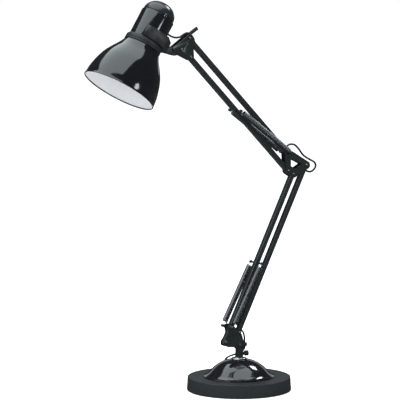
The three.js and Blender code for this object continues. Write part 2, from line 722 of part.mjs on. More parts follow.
function makeCord() {
  const group = new THREE.Group();
  const route = [
    [11.6, 11.7, 73.4], [8.2, 15.2, 71], [3.4, 18.9, 69.1], [-1.6, 22.6, 67], [-5.4, 27.2, 64.4],
    [-7, 33, 61], [-6, 39.4, 57.2], [-2.4, 45.6, 53.5], [3.2, 51, 49.4], [9.6, 55.6, 44.5],
    [16.2, 60, 38.9], [22.7, 64.8, 34.2], [29, 70, 31.4], [35, 75.6, 30.4], [40.6, 81.6, 30.4],
    [45.6, 87.9, 30.8], [49.3, 95.2, 28.9], [51.5, 100.5, 23], [52.4, 103.1, 16.2], [53.2, 105.5, 10.2],
    [54.7, 109.6, 5.3], [56.3, 115.4, 2.6], [57.4, 122.6, 2.1], [57.8, 130.2, 2.1], [58.4, 137.8, 2.1],
    [60, 144.9, 2.1], [63.2, 151.4, 2.1], [68.3, 157.15, 2.1],
  ];
  group.add(part("mains_cord", tubeAlong(route, cordRadius, 40, 8), cordBlack));
  const ring = turned([[coilInner, 0.1], [coilOuter, 0.1], [coilOuter, coilHeight], [coilInner, coilHeight]], 28);
  group.add(part("cord_coil", ring.translate([...coilCentre, 0]), cordBlack));
  const [cx, cy] = coilCentre;
  const tail = [
    [24.2, -18.5, 13], [20.3, -24.4, 11.8], [16.3, -30.1, 9], [13.3, -35.9, 6], [11.8, -42.7, 3.6],
    [12.5, -49.8, 2.8], [16.1, -55.2, 4.2], [18.7, -57.3, 5.2],
  ];
  const tailRoute = tail.map(([x, y, z]) => [cx + x, cy + y, z]);
  group.add(part("cord_tail", tubeAlong(tailRoute, cordRadius, 12, 8), cordBlack));
  return group;
}

// A two-pin plug lying on its side.
function makePlug() {
  const corner = (y) => box([-1, y - 2, -1], [3, y + 2, 13]);
  const shell = box([0, -8, 0.1], [24, 8, 12]).subtract(corner(8)).subtract(corner(-8));
  const blade = (y) => box([22, y - 0.8, 3], [41, y + 0.8, 9]);
  const mesh = part("plug", shell.add(blade(-6.3)).add(blade(6.3)), mouldedBlack);
  mesh.position.set(coilCentre[0] + 19.6, coilCentre[1] - 58, 0);
  mesh.rotation.z = radians(-33.7);
  return mesh;
}

const lamp = new THREE.Group();
lamp.name = "desk_lamp";
lamp.add(makeBase(), makeTurret(), thumbScrew(), makeLowerArm(), makeElbow(), makeUpperArm());
lamp.add(makeHeadBracket(), wingKnob(), makeHead(), makeLeads(), makeCord(), makePlug());

export default lamp;
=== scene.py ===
# Looks of a swing-arm desk lamp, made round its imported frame.
# Metres, +Z up. The arms lie in the XZ plane and the shade hangs towards -X. Shapes are drawn in millimetres.
import json
import math
import bmesh
import bpy
from mathutils import Matrix, Vector
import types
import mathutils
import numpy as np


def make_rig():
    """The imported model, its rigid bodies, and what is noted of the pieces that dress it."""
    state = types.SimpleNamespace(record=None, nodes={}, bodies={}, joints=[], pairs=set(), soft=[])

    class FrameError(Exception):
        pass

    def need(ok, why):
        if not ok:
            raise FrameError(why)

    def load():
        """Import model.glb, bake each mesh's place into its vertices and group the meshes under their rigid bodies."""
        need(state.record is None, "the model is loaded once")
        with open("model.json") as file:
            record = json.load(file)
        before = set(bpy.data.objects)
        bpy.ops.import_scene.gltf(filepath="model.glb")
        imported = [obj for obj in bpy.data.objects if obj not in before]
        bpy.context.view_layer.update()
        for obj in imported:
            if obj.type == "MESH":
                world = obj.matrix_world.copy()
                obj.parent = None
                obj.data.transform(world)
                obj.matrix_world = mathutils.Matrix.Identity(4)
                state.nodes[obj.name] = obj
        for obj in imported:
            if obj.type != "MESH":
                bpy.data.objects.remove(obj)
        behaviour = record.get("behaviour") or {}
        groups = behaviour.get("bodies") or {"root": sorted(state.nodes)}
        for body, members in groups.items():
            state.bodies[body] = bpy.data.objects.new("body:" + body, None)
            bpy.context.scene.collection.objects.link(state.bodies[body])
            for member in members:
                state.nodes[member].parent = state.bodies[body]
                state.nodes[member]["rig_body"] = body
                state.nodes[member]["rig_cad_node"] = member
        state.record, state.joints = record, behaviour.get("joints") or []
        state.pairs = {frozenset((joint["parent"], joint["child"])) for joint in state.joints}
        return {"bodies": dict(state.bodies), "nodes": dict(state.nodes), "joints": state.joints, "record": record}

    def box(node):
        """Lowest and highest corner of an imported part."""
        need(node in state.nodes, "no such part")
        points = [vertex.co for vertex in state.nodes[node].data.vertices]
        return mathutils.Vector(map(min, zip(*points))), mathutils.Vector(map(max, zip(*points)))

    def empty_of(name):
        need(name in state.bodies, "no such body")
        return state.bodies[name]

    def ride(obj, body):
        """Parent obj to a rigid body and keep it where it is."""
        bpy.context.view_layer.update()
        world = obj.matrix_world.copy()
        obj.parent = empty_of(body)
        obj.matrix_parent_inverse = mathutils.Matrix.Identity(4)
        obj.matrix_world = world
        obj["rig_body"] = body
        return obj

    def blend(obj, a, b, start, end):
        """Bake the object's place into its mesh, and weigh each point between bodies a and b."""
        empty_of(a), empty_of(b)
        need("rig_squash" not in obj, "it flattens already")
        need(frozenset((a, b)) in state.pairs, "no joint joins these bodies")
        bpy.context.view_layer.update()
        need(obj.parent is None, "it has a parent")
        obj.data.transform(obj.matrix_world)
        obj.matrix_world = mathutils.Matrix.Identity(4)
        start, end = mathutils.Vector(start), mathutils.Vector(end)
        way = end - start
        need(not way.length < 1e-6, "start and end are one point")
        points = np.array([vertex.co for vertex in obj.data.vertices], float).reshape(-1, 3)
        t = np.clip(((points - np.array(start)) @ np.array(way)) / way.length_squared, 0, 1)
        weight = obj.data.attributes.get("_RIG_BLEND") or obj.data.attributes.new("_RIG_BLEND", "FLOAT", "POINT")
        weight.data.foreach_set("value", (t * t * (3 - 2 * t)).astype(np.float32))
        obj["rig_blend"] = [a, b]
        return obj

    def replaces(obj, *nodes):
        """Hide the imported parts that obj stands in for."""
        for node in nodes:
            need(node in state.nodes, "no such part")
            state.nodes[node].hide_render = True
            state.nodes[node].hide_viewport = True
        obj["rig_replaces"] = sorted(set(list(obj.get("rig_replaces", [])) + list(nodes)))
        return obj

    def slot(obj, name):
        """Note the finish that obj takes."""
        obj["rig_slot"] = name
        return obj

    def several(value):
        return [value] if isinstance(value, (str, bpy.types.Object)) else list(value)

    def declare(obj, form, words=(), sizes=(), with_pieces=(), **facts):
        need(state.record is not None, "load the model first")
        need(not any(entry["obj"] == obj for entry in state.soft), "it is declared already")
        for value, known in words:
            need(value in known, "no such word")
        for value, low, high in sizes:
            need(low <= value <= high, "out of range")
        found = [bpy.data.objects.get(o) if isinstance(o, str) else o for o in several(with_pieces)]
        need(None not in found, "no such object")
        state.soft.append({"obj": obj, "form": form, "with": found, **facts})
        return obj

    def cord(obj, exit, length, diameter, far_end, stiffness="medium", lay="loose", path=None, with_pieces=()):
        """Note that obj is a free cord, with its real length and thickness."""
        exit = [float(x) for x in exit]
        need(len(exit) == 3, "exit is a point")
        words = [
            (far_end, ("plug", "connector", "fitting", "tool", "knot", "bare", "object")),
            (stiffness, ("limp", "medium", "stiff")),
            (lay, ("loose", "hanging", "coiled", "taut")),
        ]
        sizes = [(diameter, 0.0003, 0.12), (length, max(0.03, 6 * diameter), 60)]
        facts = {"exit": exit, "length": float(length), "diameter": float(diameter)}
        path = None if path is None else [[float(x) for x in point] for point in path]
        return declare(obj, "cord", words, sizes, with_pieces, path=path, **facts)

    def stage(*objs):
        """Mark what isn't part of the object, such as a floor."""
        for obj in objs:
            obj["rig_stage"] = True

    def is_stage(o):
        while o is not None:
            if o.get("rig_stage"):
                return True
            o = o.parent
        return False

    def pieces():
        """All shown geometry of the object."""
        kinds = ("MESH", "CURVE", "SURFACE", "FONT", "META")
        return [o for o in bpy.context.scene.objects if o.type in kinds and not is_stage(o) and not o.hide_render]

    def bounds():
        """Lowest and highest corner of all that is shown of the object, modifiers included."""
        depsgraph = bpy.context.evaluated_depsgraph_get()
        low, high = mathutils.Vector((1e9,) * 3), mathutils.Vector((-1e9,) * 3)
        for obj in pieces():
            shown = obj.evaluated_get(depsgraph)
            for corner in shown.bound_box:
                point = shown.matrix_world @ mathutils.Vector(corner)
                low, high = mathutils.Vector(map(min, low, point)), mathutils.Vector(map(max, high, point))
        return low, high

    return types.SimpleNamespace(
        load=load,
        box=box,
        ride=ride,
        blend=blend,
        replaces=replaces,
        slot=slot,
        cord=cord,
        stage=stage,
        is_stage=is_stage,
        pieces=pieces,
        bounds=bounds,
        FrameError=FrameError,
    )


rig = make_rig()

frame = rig.load()
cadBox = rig.bounds()
mm = 0.001
scene = bpy.context.scene
cadNodes = frame["nodes"]
jointPlace = {joint["name"]: Vector(joint["pos_m"]) for joint in frame["joints"]}
print("frame loaded:", len(cadNodes), "nodes")


def middle(node):
    low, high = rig.box(node)
    return (low + high) / 2


# ---- camera and studio ----
cameraView = {"place": (-2.952, -4.281, 1.002), "tip": 83.24, "turn": -33.72, "lens": 235, "sensor": 36}


def addCamera():
    lens = bpy.data.cameras.new("deskCamera")
    lens.lens = cameraView["lens"]
    lens.sensor_width = cameraView["sensor"]
    lens.clip_end = 60
    camera = bpy.data.objects.new("deskCamera", lens)
    camera.location = cameraView["place"]
    camera.rotation_euler = (math.radians(cameraView["tip"]), 0, math.radians(cameraView["turn"]))
    scene.collection.objects.link(camera)
    scene.camera = camera


addCamera()


# ---- shaping helpers ----
def smoothLine(points, perSpan):  # a smooth line through points, in two or three dimensions
    knots = [Vector(point) for point in points]
    guide = [2 * knots[0] - knots[1], *knots, 2 * knots[-1] - knots[-2]]
    line = []
    for a, b, c, d in zip(guide, guide[1:], guide[2:], guide[3:]):
        for step in range(perSpan):
            t = step / perSpan
            cubic = (d - a) / 2 + 1.5 * (b - c)
            line.append(b + t * ((c - a) / 2 + t * (a - 2.5 * b + 2 * c - d / 2 + t * cubic)))
    return [*line, knots[-1]]


def rounded(corners, steps=4):  # a corner's third number is the radius of the arc that rounds it
    line = []
    for index, corner in enumerate(corners):
        here = Vector(corner[:2])
        if len(corner) == 2:
            line.append(here)
            continue
        back = (Vector(corners[index - 1][:2]) - here).normalized()
        ahead = (Vector(corners[(index + 1) % len(corners)][:2]) - here).normalized()
        half = back.angle(ahead) / 2
        centre = here + (back + ahead).normalized() * corner[2] / math.sin(half)
        first, last = (here + side * corner[2] / math.tan(half) - centre for side in (back, ahead))
        line += [centre + first.slerp(last, step / steps) for step in range(steps + 1)]
    return line


def spun(outline, steps=96, closed=True):  # an outline of radius and height, turned round Z
    form = bmesh.new()
    ring = [form.verts.new((radius, 0, height)) for radius, height in outline]
    loop = [*ring, ring[0]] if closed else ring
    edges = [form.edges.new(pair) for pair in zip(loop, loop[1:])]
    bmesh.ops.spin(form, geom=ring + edges, cent=(0, 0, 0), axis=(0, 0, 1), angle=math.tau, steps=steps,
                   use_merge=True)
    bmesh.ops.remove_doubles(form, verts=form.verts, dist=0.001)
    bmesh.ops.recalc_face_normals(form, faces=form.faces)
    return form


def block(low, high, edge=0.6, segments=2):  # a box with rounded edges
    form = bmesh.new()
    size = Vector(high) - Vector(low)
    bmesh.ops.create_cube(form, size=1)
    bmesh.ops.scale(form, vec=size, verts=form.verts)
    bmesh.ops.translate(form, vec=(Vector(high) + Vector(low)) / 2, verts=form.verts)
    bmesh.ops.bevel(form, geom=form.edges[:], offset=edge, segments=segments, profile=0.5, affect="EDGES",
                    material=-1)
    return form


def fluted(form, radius, low, high, depth):  # every other side face of a turned grip is pressed in
    sides = [face for face in form.faces
             if low < face.calc_center_median().z < high and face.calc_center_median().xy.length > radius]
    sides.sort(key=lambda face: math.atan2(face.calc_center_median().y, face.calc_center_median().x))
    bmesh.ops.inset_individual(form, faces=sides[::2], thickness=0.12, depth=-depth)


def joined(*forms):  # several closed shapes as one mesh
    whole = bmesh.new()
    for form in forms:
        spare = bpy.data.meshes.new("spare")
        form.to_mesh(spare)
        form.free()
        whole.from_mesh(spare)
        bpy.data.meshes.remove(spare)
    return whole


def finishMesh(name, mesh, finishes, sharp=35):
    for finish in finishes:
        mesh.materials.append(finish)
    mesh.shade_smooth()
    mesh.set_sharp_from_angle(angle=math.radians(sharp))
    piece = bpy.data.objects.new(name, mesh)
    scene.collection.objects.link(piece)
    return piece


def makePiece(name, form, finishes, place=Matrix(), scale=mm, sharp=35):
    bmesh.ops.transform(form, matrix=place @ Matrix.Scale(scale, 4), verts=form.verts)
    mesh = bpy.data.meshes.new(name)
    form.to_mesh(mesh)
    form.free()
    return finishMesh(name, mesh, finishes, sharp)


def wirePiece(name, route, radius, finish, rings=3, swell=None):  # a round wire along points in metres
    line = bpy.data.curves.new(name, "CURVE")
    line.dimensions = "3D"
    line.bevel_depth = radius
    line.bevel_resolution = rings
    line.use_fill_caps = True
    spline = line.splines.new("POLY")
    spline.points.add(len(route) - 1)
    for index, (point, place) in enumerate(zip(spline.points, route)):
        point.co = (*place, 1)
        point.radius = swell(index / (len(route) - 1)) if swell else 1
    holder = bpy.data.objects.new(name + "Line", line)
    mesh = bpy.data.meshes.new_from_object(holder)
    bpy.data.objects.remove(holder)
    form = bmesh.new()
    form.from_mesh(mesh)
    bmesh.ops.remove_doubles(form, verts=form.verts, dist=1e-6)
    form.to_mesh(mesh)
    form.free()
    mesh.materials.clear()
    return finishMesh(name, mesh, [finish], 50)


def refined(node, edge, segments=2, smallest=30):  # a merged copy of a CAD shape with its edges rounded
    form = bmesh.new()
    form.from_mesh(cadNodes[node].data)
    bmesh.ops.remove_doubles(form, verts=form.verts, dist=1e-6)
    bmesh.ops.dissolve_limit(form, angle_limit=math.radians(1), verts=form.verts, edges=form.edges)
    corners = [line for line in form.edges
               if line.is_manifold and line.calc_face_angle() > math.radians(smallest)]
    bmesh.ops.bevel(form, geom=corners, offset=edge * mm, segments=segments, profile=0.5, affect="EDGES",
                    material=-1, clamp_overlap=True)
    return form


def seat(piece, body, slotName, *standsFor):  # the piece moves with a body and stands for CAD nodes
    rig.ride(piece, body)
    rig.slot(piece, slotName)
    if standsFor:
        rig.replaces(piece, *standsFor)
    return piece


def span(piece, bodies, start, end, slotName, *standsFor):  # the piece bends from one body to the next
    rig.blend(piece, *bodies, start=start, end=end)
    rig.slot(piece, slotName)
    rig.replaces(piece, *standsFor)
    return piece


# ---- shader groups ----
def addNode(tree, kind, inputs=None, **settings):
    node = tree.nodes.new("ShaderNode" + kind)
    for label, value in settings.items():
        setattr(node, label, value)
    for label, value in (inputs or {}).items():
        if isinstance(value, bpy.types.NodeSocket):
            tree.links.new(value, node.inputs[label])
        else:
            node.inputs[label].default_value = value
    return node


def mixed(tree, share, first, second):  # a colour between two
    node = addNode(tree, "Mix", data_type="RGBA")
    for socket, value in ((node.inputs[0], share), (node.inputs[6], first), (node.inputs[7], second)):
        if isinstance(value, bpy.types.NodeSocket):
            tree.links.new(value, socket)
        else:
            socket.default_value = value
    return node.outputs[2]


def newGroup(name, ins, outs):
    group = bpy.data.node_groups.new(name, "ShaderNodeTree")
    for label, value in ins.items():
        socket = group.interface.new_socket(label, in_out="INPUT", socket_type="NodeSocketFloat")
        socket.default_value = value
    for label in outs:
        group.interface.new_socket(label, in_out="OUTPUT", socket_type="NodeSocketFloat")
    return group, group.nodes.new("NodeGroupInput").outputs, group.nodes.new("NodeGroupOutput").inputs


def makeGrain():  # sprayed or moulded grain: a coarse ripple and a fine speckle
    group, given, made = newGroup("surfaceGrain", {"Scale": 900, "Ripple": 0.5}, ["Height", "Shade"])
    place = addNode(group, "TexCoord").outputs["Object"]
    fine = addNode(group, "TexNoise", {"Vector": place, "Scale": given["Scale"], "Detail": 2})
    broadScale = addNode(group, "Math", {0: given["Scale"], 1: 0.16}, operation="MULTIPLY")
    broad = addNode(group, "TexNoise", {"Vector": place, "Scale": broadScale.outputs[0], "Detail": 3})
    weighed = addNode(group, "Math", {0: broad.outputs["Fac"], 1: given["Ripple"]}, operation="MULTIPLY")
    height = addNode(group, "Math", {0: fine.outputs["Fac"], 1: weighed.outputs[0]}, operation="ADD")
    group.links.new(height.outputs[0], made["Height"])
    group.links.new(broad.outputs["Fac"], made["Shade"])
    return group


def makeEdgeWear():  # where a sharp edge has rubbed, broken up by noise
    group, given, made = newGroup("edgeWear", {"Amount": 0.3, "Scale": 220}, ["Mask"])
    ridge = addNode(group, "NewGeometry").outputs["Pointiness"]
    edge = addNode(group, "MapRange", {"Value": ridge, "From Min": 0.53, "From Max": 0.62})
    place = addNode(group, "TexCoord").outputs["Object"]
    patch = addNode(group, "TexNoise", {"Vector": place, "Scale": given["Scale"], "Detail": 4})
    rubbed = addNode(group, "MapRange", {"Value": patch.outputs["Fac"], "From Min": 0.45, "From Max": 0.65})
    both = addNode(group, "Math", {0: edge.outputs[0], 1: rubbed.outputs[0]}, operation="MULTIPLY")
    mask = addNode(group, "Math", {0: both.outputs[0], 1: given["Amount"]}, operation="MULTIPLY")
    group.links.new(mask.outputs[0], made["Mask"])
    return group


def makeDust():  # a thin film on faces that look up
    group, given, made = newGroup("dustFilm", {"Amount": 0.1, "Scale": 60}, ["Mask"])
    facing = addNode(group, "SeparateXYZ", {0: addNode(group, "NewGeometry").outputs["Normal"]})
    upward = addNode(group, "MapRange", {"Value": facing.outputs["Z"], "From Min": 0.55, "From Max": 1.0})
    place = addNode(group, "TexCoord").outputs["Object"]
    cloud = addNode(group, "TexNoise", {"Vector": place, "Scale": given["Scale"], "Detail": 6})
    film = addNode(group, "MapRange", {"Value": cloud.outputs["Fac"], "From Min": 0.35, "From Max": 0.7})
    both = addNode(group, "Math", {0: upward.outputs[0], 1: film.outputs[0]}, operation="MULTIPLY")
    mask = addNode(group, "Math", {0: both.outputs[0], 1: given["Amount"]}, operation="MULTIPLY")
    group.links.new(mask.outputs[0], made["Mask"])
    return group


grainGroup, wearGroup, dustGroup = makeGrain(), makeEdgeWear(), makeDust()


# ---- finishes ----
grainDepth = 0.0002  # metres
dustTone = (0.42, 0.41, 0.39, 1)


def newFinish(name, **sockets):
    finish = bpy.data.materials.new(name)
    finish.use_nodes = True
    shader = finish.node_tree.nodes["Principled BSDF"]
    for label, value in sockets.items():
        shader.inputs[label.replace("_", " ")].default_value = value
    return finish, finish.node_tree, shader


def groupIn(tree, group, **values):
    node = tree.nodes.new("ShaderNodeGroup")
    node.node_tree = group
    for label, value in values.items():
        node.inputs[label].default_value = value
    return node


def addPolish(tree, grain, look):  # roughness that follows the grain
    return addNode(tree, "MapRange", {"Value": grain.outputs["Shade"], "From Min": 0.3, "From Max": 0.7,
                                      "To Min": look["rough"][0], "To Max": look["rough"][1]})


def addBump(tree, shader, grain, look):
    bump = addNode(tree, "Bump", {"Height": grain.outputs["Height"], "Strength": look["bump"],
                                  "Distance": grainDepth})
    tree.links.new(bump.outputs[0], shader.inputs["Normal"])


def coated(name, look, **sockets):  # paint, enamel or moulded plastic
    finish, tree, shader = newFinish(name, **sockets)
    grain = groupIn(tree, grainGroup, Scale=look["grain"], Ripple=look["ripple"])
    wear = groupIn(tree, wearGroup, Amount=look["wear"])
    dust = groupIn(tree, dustGroup, Amount=look["dust"])
    tone = mixed(tree, grain.outputs["Shade"], (*look["dark"], 1), (*look["light"], 1))
    worn = mixed(tree, wear.outputs["Mask"], tone, (*look["bare"], 1))
    dusty = mixed(tree, dust.outputs["Mask"], worn, dustTone)
    tree.links.new(dusty, shader.inputs["Base Color"])
    polish = addPolish(tree, grain, look)
    dulled = addNode(tree, "Math", {0: polish.outputs[0], 1: dust.outputs["Mask"]}, operation="ADD")
    tree.links.new(dulled.outputs[0], shader.inputs["Roughness"])
    addBump(tree, shader, grain, look)
    return finish


def plated(name, look, **sockets):  # bare or plated metal with fine turning marks
    finish, tree, shader = newFinish(name, Metallic=1.0, **sockets)
    grain = groupIn(tree, grainGroup, Scale=look["grain"], Ripple=0.8)
    tone = mixed(tree, grain.outputs["Shade"], (*look["dark"], 1), (*look["light"], 1))
    tree.links.new(tone, shader.inputs["Base Color"])
    polish = addPolish(tree, grain, look)
    tree.links.new(polish.outputs[0], shader.inputs["Roughness"])
    addBump(tree, shader, grain, look)
    return finish


blackEnamel = coated("blackEnamel", {
    "dark": (0.0035, 0.004, 0.005), "light": (0.006, 0.0065, 0.008), "bare": (0.05, 0.05, 0.05),
    "rough": (0.09, 0.14), "grain": 380, "ripple": 1.5, "bump": 0.012, "wear": 0.05, "dust": 0.012,
}, Coat_Weight=0.6, Coat_Roughness=0.04)
capEnamel = coated("capEnamel", {
    "dark": (0.008, 0.009, 0.011), "light": (0.013, 0.014, 0.017), "bare": (0.05, 0.05, 0.05),
    "rough": (0.26, 0.34), "grain": 700, "ripple": 1.0, "bump": 0.04, "wear": 0.05, "dust": 0.02,
}, Coat_Weight=0.25, Coat_Roughness=0.15)
whiteEnamel = coated("whiteEnamel", {
    "dark": (0.55, 0.545, 0.56), "light": (0.6, 0.595, 0.61), "bare": (0.5, 0.5, 0.5),
    "rough": (0.36, 0.5), "grain": 500, "ripple": 1.2, "bump": 0.03, "wear": 0.0, "dust": 0.0,
})
charcoalPaint = coated("charcoalPaint", {
    "dark": (0.011, 0.0135, 0.015), "light": (0.015, 0.0175, 0.019), "bare": (0.12, 0.12, 0.12),
    "rough": (0.42, 0.5), "grain": 1500, "ripple": 0.5, "bump": 0.12, "wear": 0.04, "dust": 0.02,
}, Specular_IOR_Level=0.35)
armPaint = coated("armPaint", {
    "dark": (0.008, 0.0105, 0.0105), "light": (0.012, 0.0145, 0.0145), "bare": (0.16, 0.16, 0.155),
    "rough": (0.2, 0.24), "grain": 1200, "ripple": 0.5, "bump": 0.04, "wear": 0.03, "dust": 0.01,
}, Specular_IOR_Level=0.4, Coat_Weight=0.15, Coat_Roughness=0.12)
mouldedPlastic = coated("mouldedPlastic", {
    "dark": (0.010, 0.0115, 0.0115), "light": (0.014, 0.0155, 0.0155), "bare": (0.05, 0.05, 0.05),
    "rough": (0.36, 0.44), "grain": 2400, "ripple": 0.3, "bump": 0.2, "wear": 0.05, "dust": 0.01,
})
rubberSkin = coated("rubberSkin", {
    "dark": (0.012, 0.012, 0.012), "light": (0.022, 0.022, 0.021), "bare": (0.05, 0.05, 0.05),
    "rough": (0.7, 0.85), "grain": 1800, "ripple": 0.8, "bump": 0.5, "wear": 0.0, "dust": 0.08,
})
cordSheath = coated("cordSheath", {
    "dark": (0.007, 0.007, 0.008), "light": (0.013, 0.013, 0.014), "bare": (0.03, 0.03, 0.03),
    "rough": (0.36, 0.48), "grain": 900, "ripple": 1.4, "bump": 0.12, "wear": 0.0, "dust": 0.03,
})
glazedClay = coated("glazedClay", {
    "dark": (0.62, 0.59, 0.53), "light": (0.74, 0.71, 0.65), "bare": (0.4, 0.38, 0.33),
    "rough": (0.12, 0.22), "grain": 260, "ripple": 1.5, "bump": 0.05, "wear": 0.3, "dust": 0.0,
}, Coat_Weight=0.4)
frostedGlass = coated("frostedGlass", {
    "dark": (0.78, 0.78, 0.77), "light": (0.86, 0.86, 0.84), "bare": (0.7, 0.7, 0.7),
    "rough": (0.2, 0.3), "grain": 900, "ripple": 0.4, "bump": 0.02, "wear": 0.0, "dust": 0.0,
}, Coat_Weight=0.5, Coat_Roughness=0.05)
castIron = coated("castIron", {
    "dark": (0.035, 0.034, 0.033), "light": (0.075, 0.072, 0.07), "bare": (0.2, 0.19, 0.18),
    "rough": (0.65, 0.8), "grain": 600, "ripple": 2.0, "bump": 1.0, "wear": 0.4, "dust": 0.0,
}, Metallic=0.5)
darkSteel = plated("darkSteel", {
    "dark": (0.2, 0.2, 0.205), "light": (0.32, 0.32, 0.325),
    "rough": (0.22, 0.32), "grain": 1500, "bump": 0.1,
})
zincSteel = plated("zincSteel", {
    "dark": (0.42, 0.42, 0.415), "light": (0.6, 0.6, 0.6),
    "rough": (0.2, 0.34), "grain": 1500, "bump": 0.1,
})
springSteel = plated("springSteel", {
    "dark": (0.2, 0.2, 0.205), "light": (0.3, 0.3, 0.305),
    "rough": (0.24, 0.34), "grain": 2000, "bump": 0.15,
})
print("finishes made")

# ---- mains cord, coil and plug ----
cordLook = {"diameter": 4, "perSpan": 4, "perTurn": 24}
cordRun = [
    (11.6, 11.7, 73.4), (8.2, 15.2, 71), (3.4, 18.9, 69.1), (-1.6, 22.6, 67), (-5.4, 27.2, 64.4),
    (-7, 33, 61), (-6, 39.4, 57.2), (-2.4, 45.6, 53.5), (3.2, 51, 49.4), (9.6, 55.6, 44.5),
    (16.2, 60, 38.9), (22.7, 64.8, 34.2), (29, 70, 31.4), (35, 75.6, 30.4), (40.6, 81.6, 30.4),
    (45.6, 87.9, 30.8), (49.3, 95.2, 28.9), (51.5, 100.5, 23), (52.4, 103.1, 16.2), (53.2, 105.5, 10.2),
    (54.7, 109.6, 5.3), (56.3, 115.4, 2.6), (57.4, 122.6, 2.1), (57.8, 130.2, 2.1), (58.4, 137.8, 2.1),
    (60, 144.9, 2.1), (63.2, 151.4, 2.1), (68.3, 157.15, 2.1),
]
cordTail = [  # from the coil's middle
    (24.2, -18.5, 13), (20.3, -24.4, 11.8), (16.3, -30.1, 9), (13.3, -35.9, 6), (11.8, -42.7, 3.6),
    (12.5, -49.8, 2.8), (16.1, -55.2, 4.2), (18.7, -57.3, 5.2),
]
coilLook = {
    "centre": (92, 137), "radii": (26, 22, 18), "floor": 2.1, "layer": 4, "layers": 3,
    "startTurn": 108, "endTurn": -8, "shift": 70, "height": 16, "inner": 16, "outer": 28, "tieTurn": 200,
}


def coilTurns():  # clockwise from above, in and out by turns, layer on layer
    centre = Vector((*coilLook["centre"], 0))
    stops = []
    for layer in range(coilLook["layers"]):
        radii = coilLook["radii"] if layer % 2 == 0 else coilLook["radii"][::-1]
        stops += [(radius, coilLook["floor"] + coilLook["layer"] * layer) for radius in radii]
    top = coilLook["floor"] + coilLook["layer"] * coilLook["layers"] - 0.3
    stops += [(radius, top) for radius in coilLook["radii"][::-1]]
    lastSweep = (coilLook["startTurn"] - coilLook["endTurn"]) % 360
    route = []
    for index, (radius, height) in enumerate(stops):
        nextRadius, nextHeight = stops[min(index + 1, len(stops) - 1)]
        sweep = lastSweep if index == len(stops) - 1 else 360
        steps = round(cordLook["perTurn"] * sweep / 360)
        for step in range(steps):
            angle = step / steps * sweep
            share = max(0, (angle - 360 + coilLook["shift"]) / coilLook["shift"])
            ease = share * share * (3 - 2 * share)
            reach = radius + (nextRadius - radius) * ease
            turn = math.radians(coilLook["startTurn"] - angle)
            route.append(centre + Vector((reach * math.cos(turn), reach * math.sin(turn),
                                          height + (nextHeight - height) * ease)))
    return route


def makeTie():  # a strap round the coil's turns
    low, high = coilLook["inner"] - 0.6, coilLook["outer"] + 0.6
    floor, top = 0.3, coilLook["height"] + 0.7
    corners = [(low, floor, 2), (high, floor, 2), (high, top, 2), (low, top, 2)]
    form = bmesh.new()
    ring = [form.verts.new((radius, -4, height)) for radius, height in rounded(corners)]
    edges = [form.edges.new(pair) for pair in zip(ring, [*ring[1:], ring[0]])]
    wide = bmesh.ops.extrude_edge_only(form, edges=edges)
    moved = [item for item in wide["geom"] if isinstance(item, bmesh.types.BMVert)]
    bmesh.ops.translate(form, vec=(0, 8, 0), verts=moved)
    bmesh.ops.recalc_face_normals(form, faces=form.faces)
    bmesh.ops.solidify(form, geom=form.faces[:], thickness=0.7)
    tab = block((high - 0.2, -4, 6), (high + 1.1, 4, 15.5), 0.4)
    place = Matrix.Translation(Vector((*coilLook["centre"], 0)) * mm)
    place @= Matrix.Rotation(math.radians(coilLook["tieTurn"]), 4, "Z")
    return makePiece("coilTie", joined(form, tab), [rubberSkin], place)


plugLook = {"turn": -33.7, "from": (19.6, -58), "body": (24, 8, 12), "bladeAside": 6.3, "bladeTip": 41}


def makePlug():
    centre = Vector((*coilLook["centre"], 0)) + Vector((*plugLook["from"], 0))
    place = Matrix.Translation(centre * mm) @ Matrix.Rotation(math.radians(plugLook["turn"]), 4, "Z")
    long, half, high = plugLook["body"]
    shell = block((0, -half, 0.2), (long, half, high), 2.2, 4)
    rear = [point for point in shell.verts if point.co.x < 4]
    bmesh.ops.scale(shell, vec=(1, 0.62, 0.72), verts=rear, space=Matrix.Translation((0, 0, -high / 2)))
    ribs = [block((x, -half - 0.1, 2.5), (x + 1.2, half + 0.1, high - 2.5), 0.4) for x in (9, 12, 15, 18)]
    body = makePiece("plugBody", joined(shell, *ribs), [mouldedPlastic], place)
    side = plugLook["bladeAside"]
    blades = [block((long - 1, y - 0.75, 3), (plugLook["bladeTip"], y + 0.75, 9), 0.35)
              for y in (-side, side)]
    pins = makePiece("plugBlades", joined(*blades), [zincSteel], place)
    return body, pins


def makeMainsCord():
    centre = Vector((*coilLook["centre"], 0))
    coil = coilTurns()
    tail = [centre + Vector(point) for point in cordTail]
    route = [*smoothLine([*cordRun, coil[0]], cordLook["perSpan"])[:-1], *coil[:-1],
             *smoothLine([coil[-1], *tail], cordLook["perSpan"])]
    route = [point * mm for point in route]
    length = sum((b - a).length for a, b in zip(route, route[1:]))
    print("cord route:", round(length, 3), "m,", len(route), "points")
    cord = wirePiece("mainsCord", route, cordLook["diameter"] / 2 * mm, cordSheath)
    tie = makeTie()
    plug, blades = makePlug()
    for piece in (tie, plug, blades):
        seat(piece, "base", "moulded_black")
    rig.slot(blades, "bright_steel")
    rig.replaces(plug, "plug")
    span(cord, ("turret", "base"), (0, 0, 0.0734), (0, 0, 0.045), "cord_black",
         "mains_cord", "cord_coil", "cord_tail")
    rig.cord(cord, exit=route[0], length=round(length, 3), diameter=cordLook["diameter"] * mm, far_end="plug",
            stiffness="medium", lay="coiled", path=route, with_pieces=[plug, blades, tie, makeStrainRelief()])


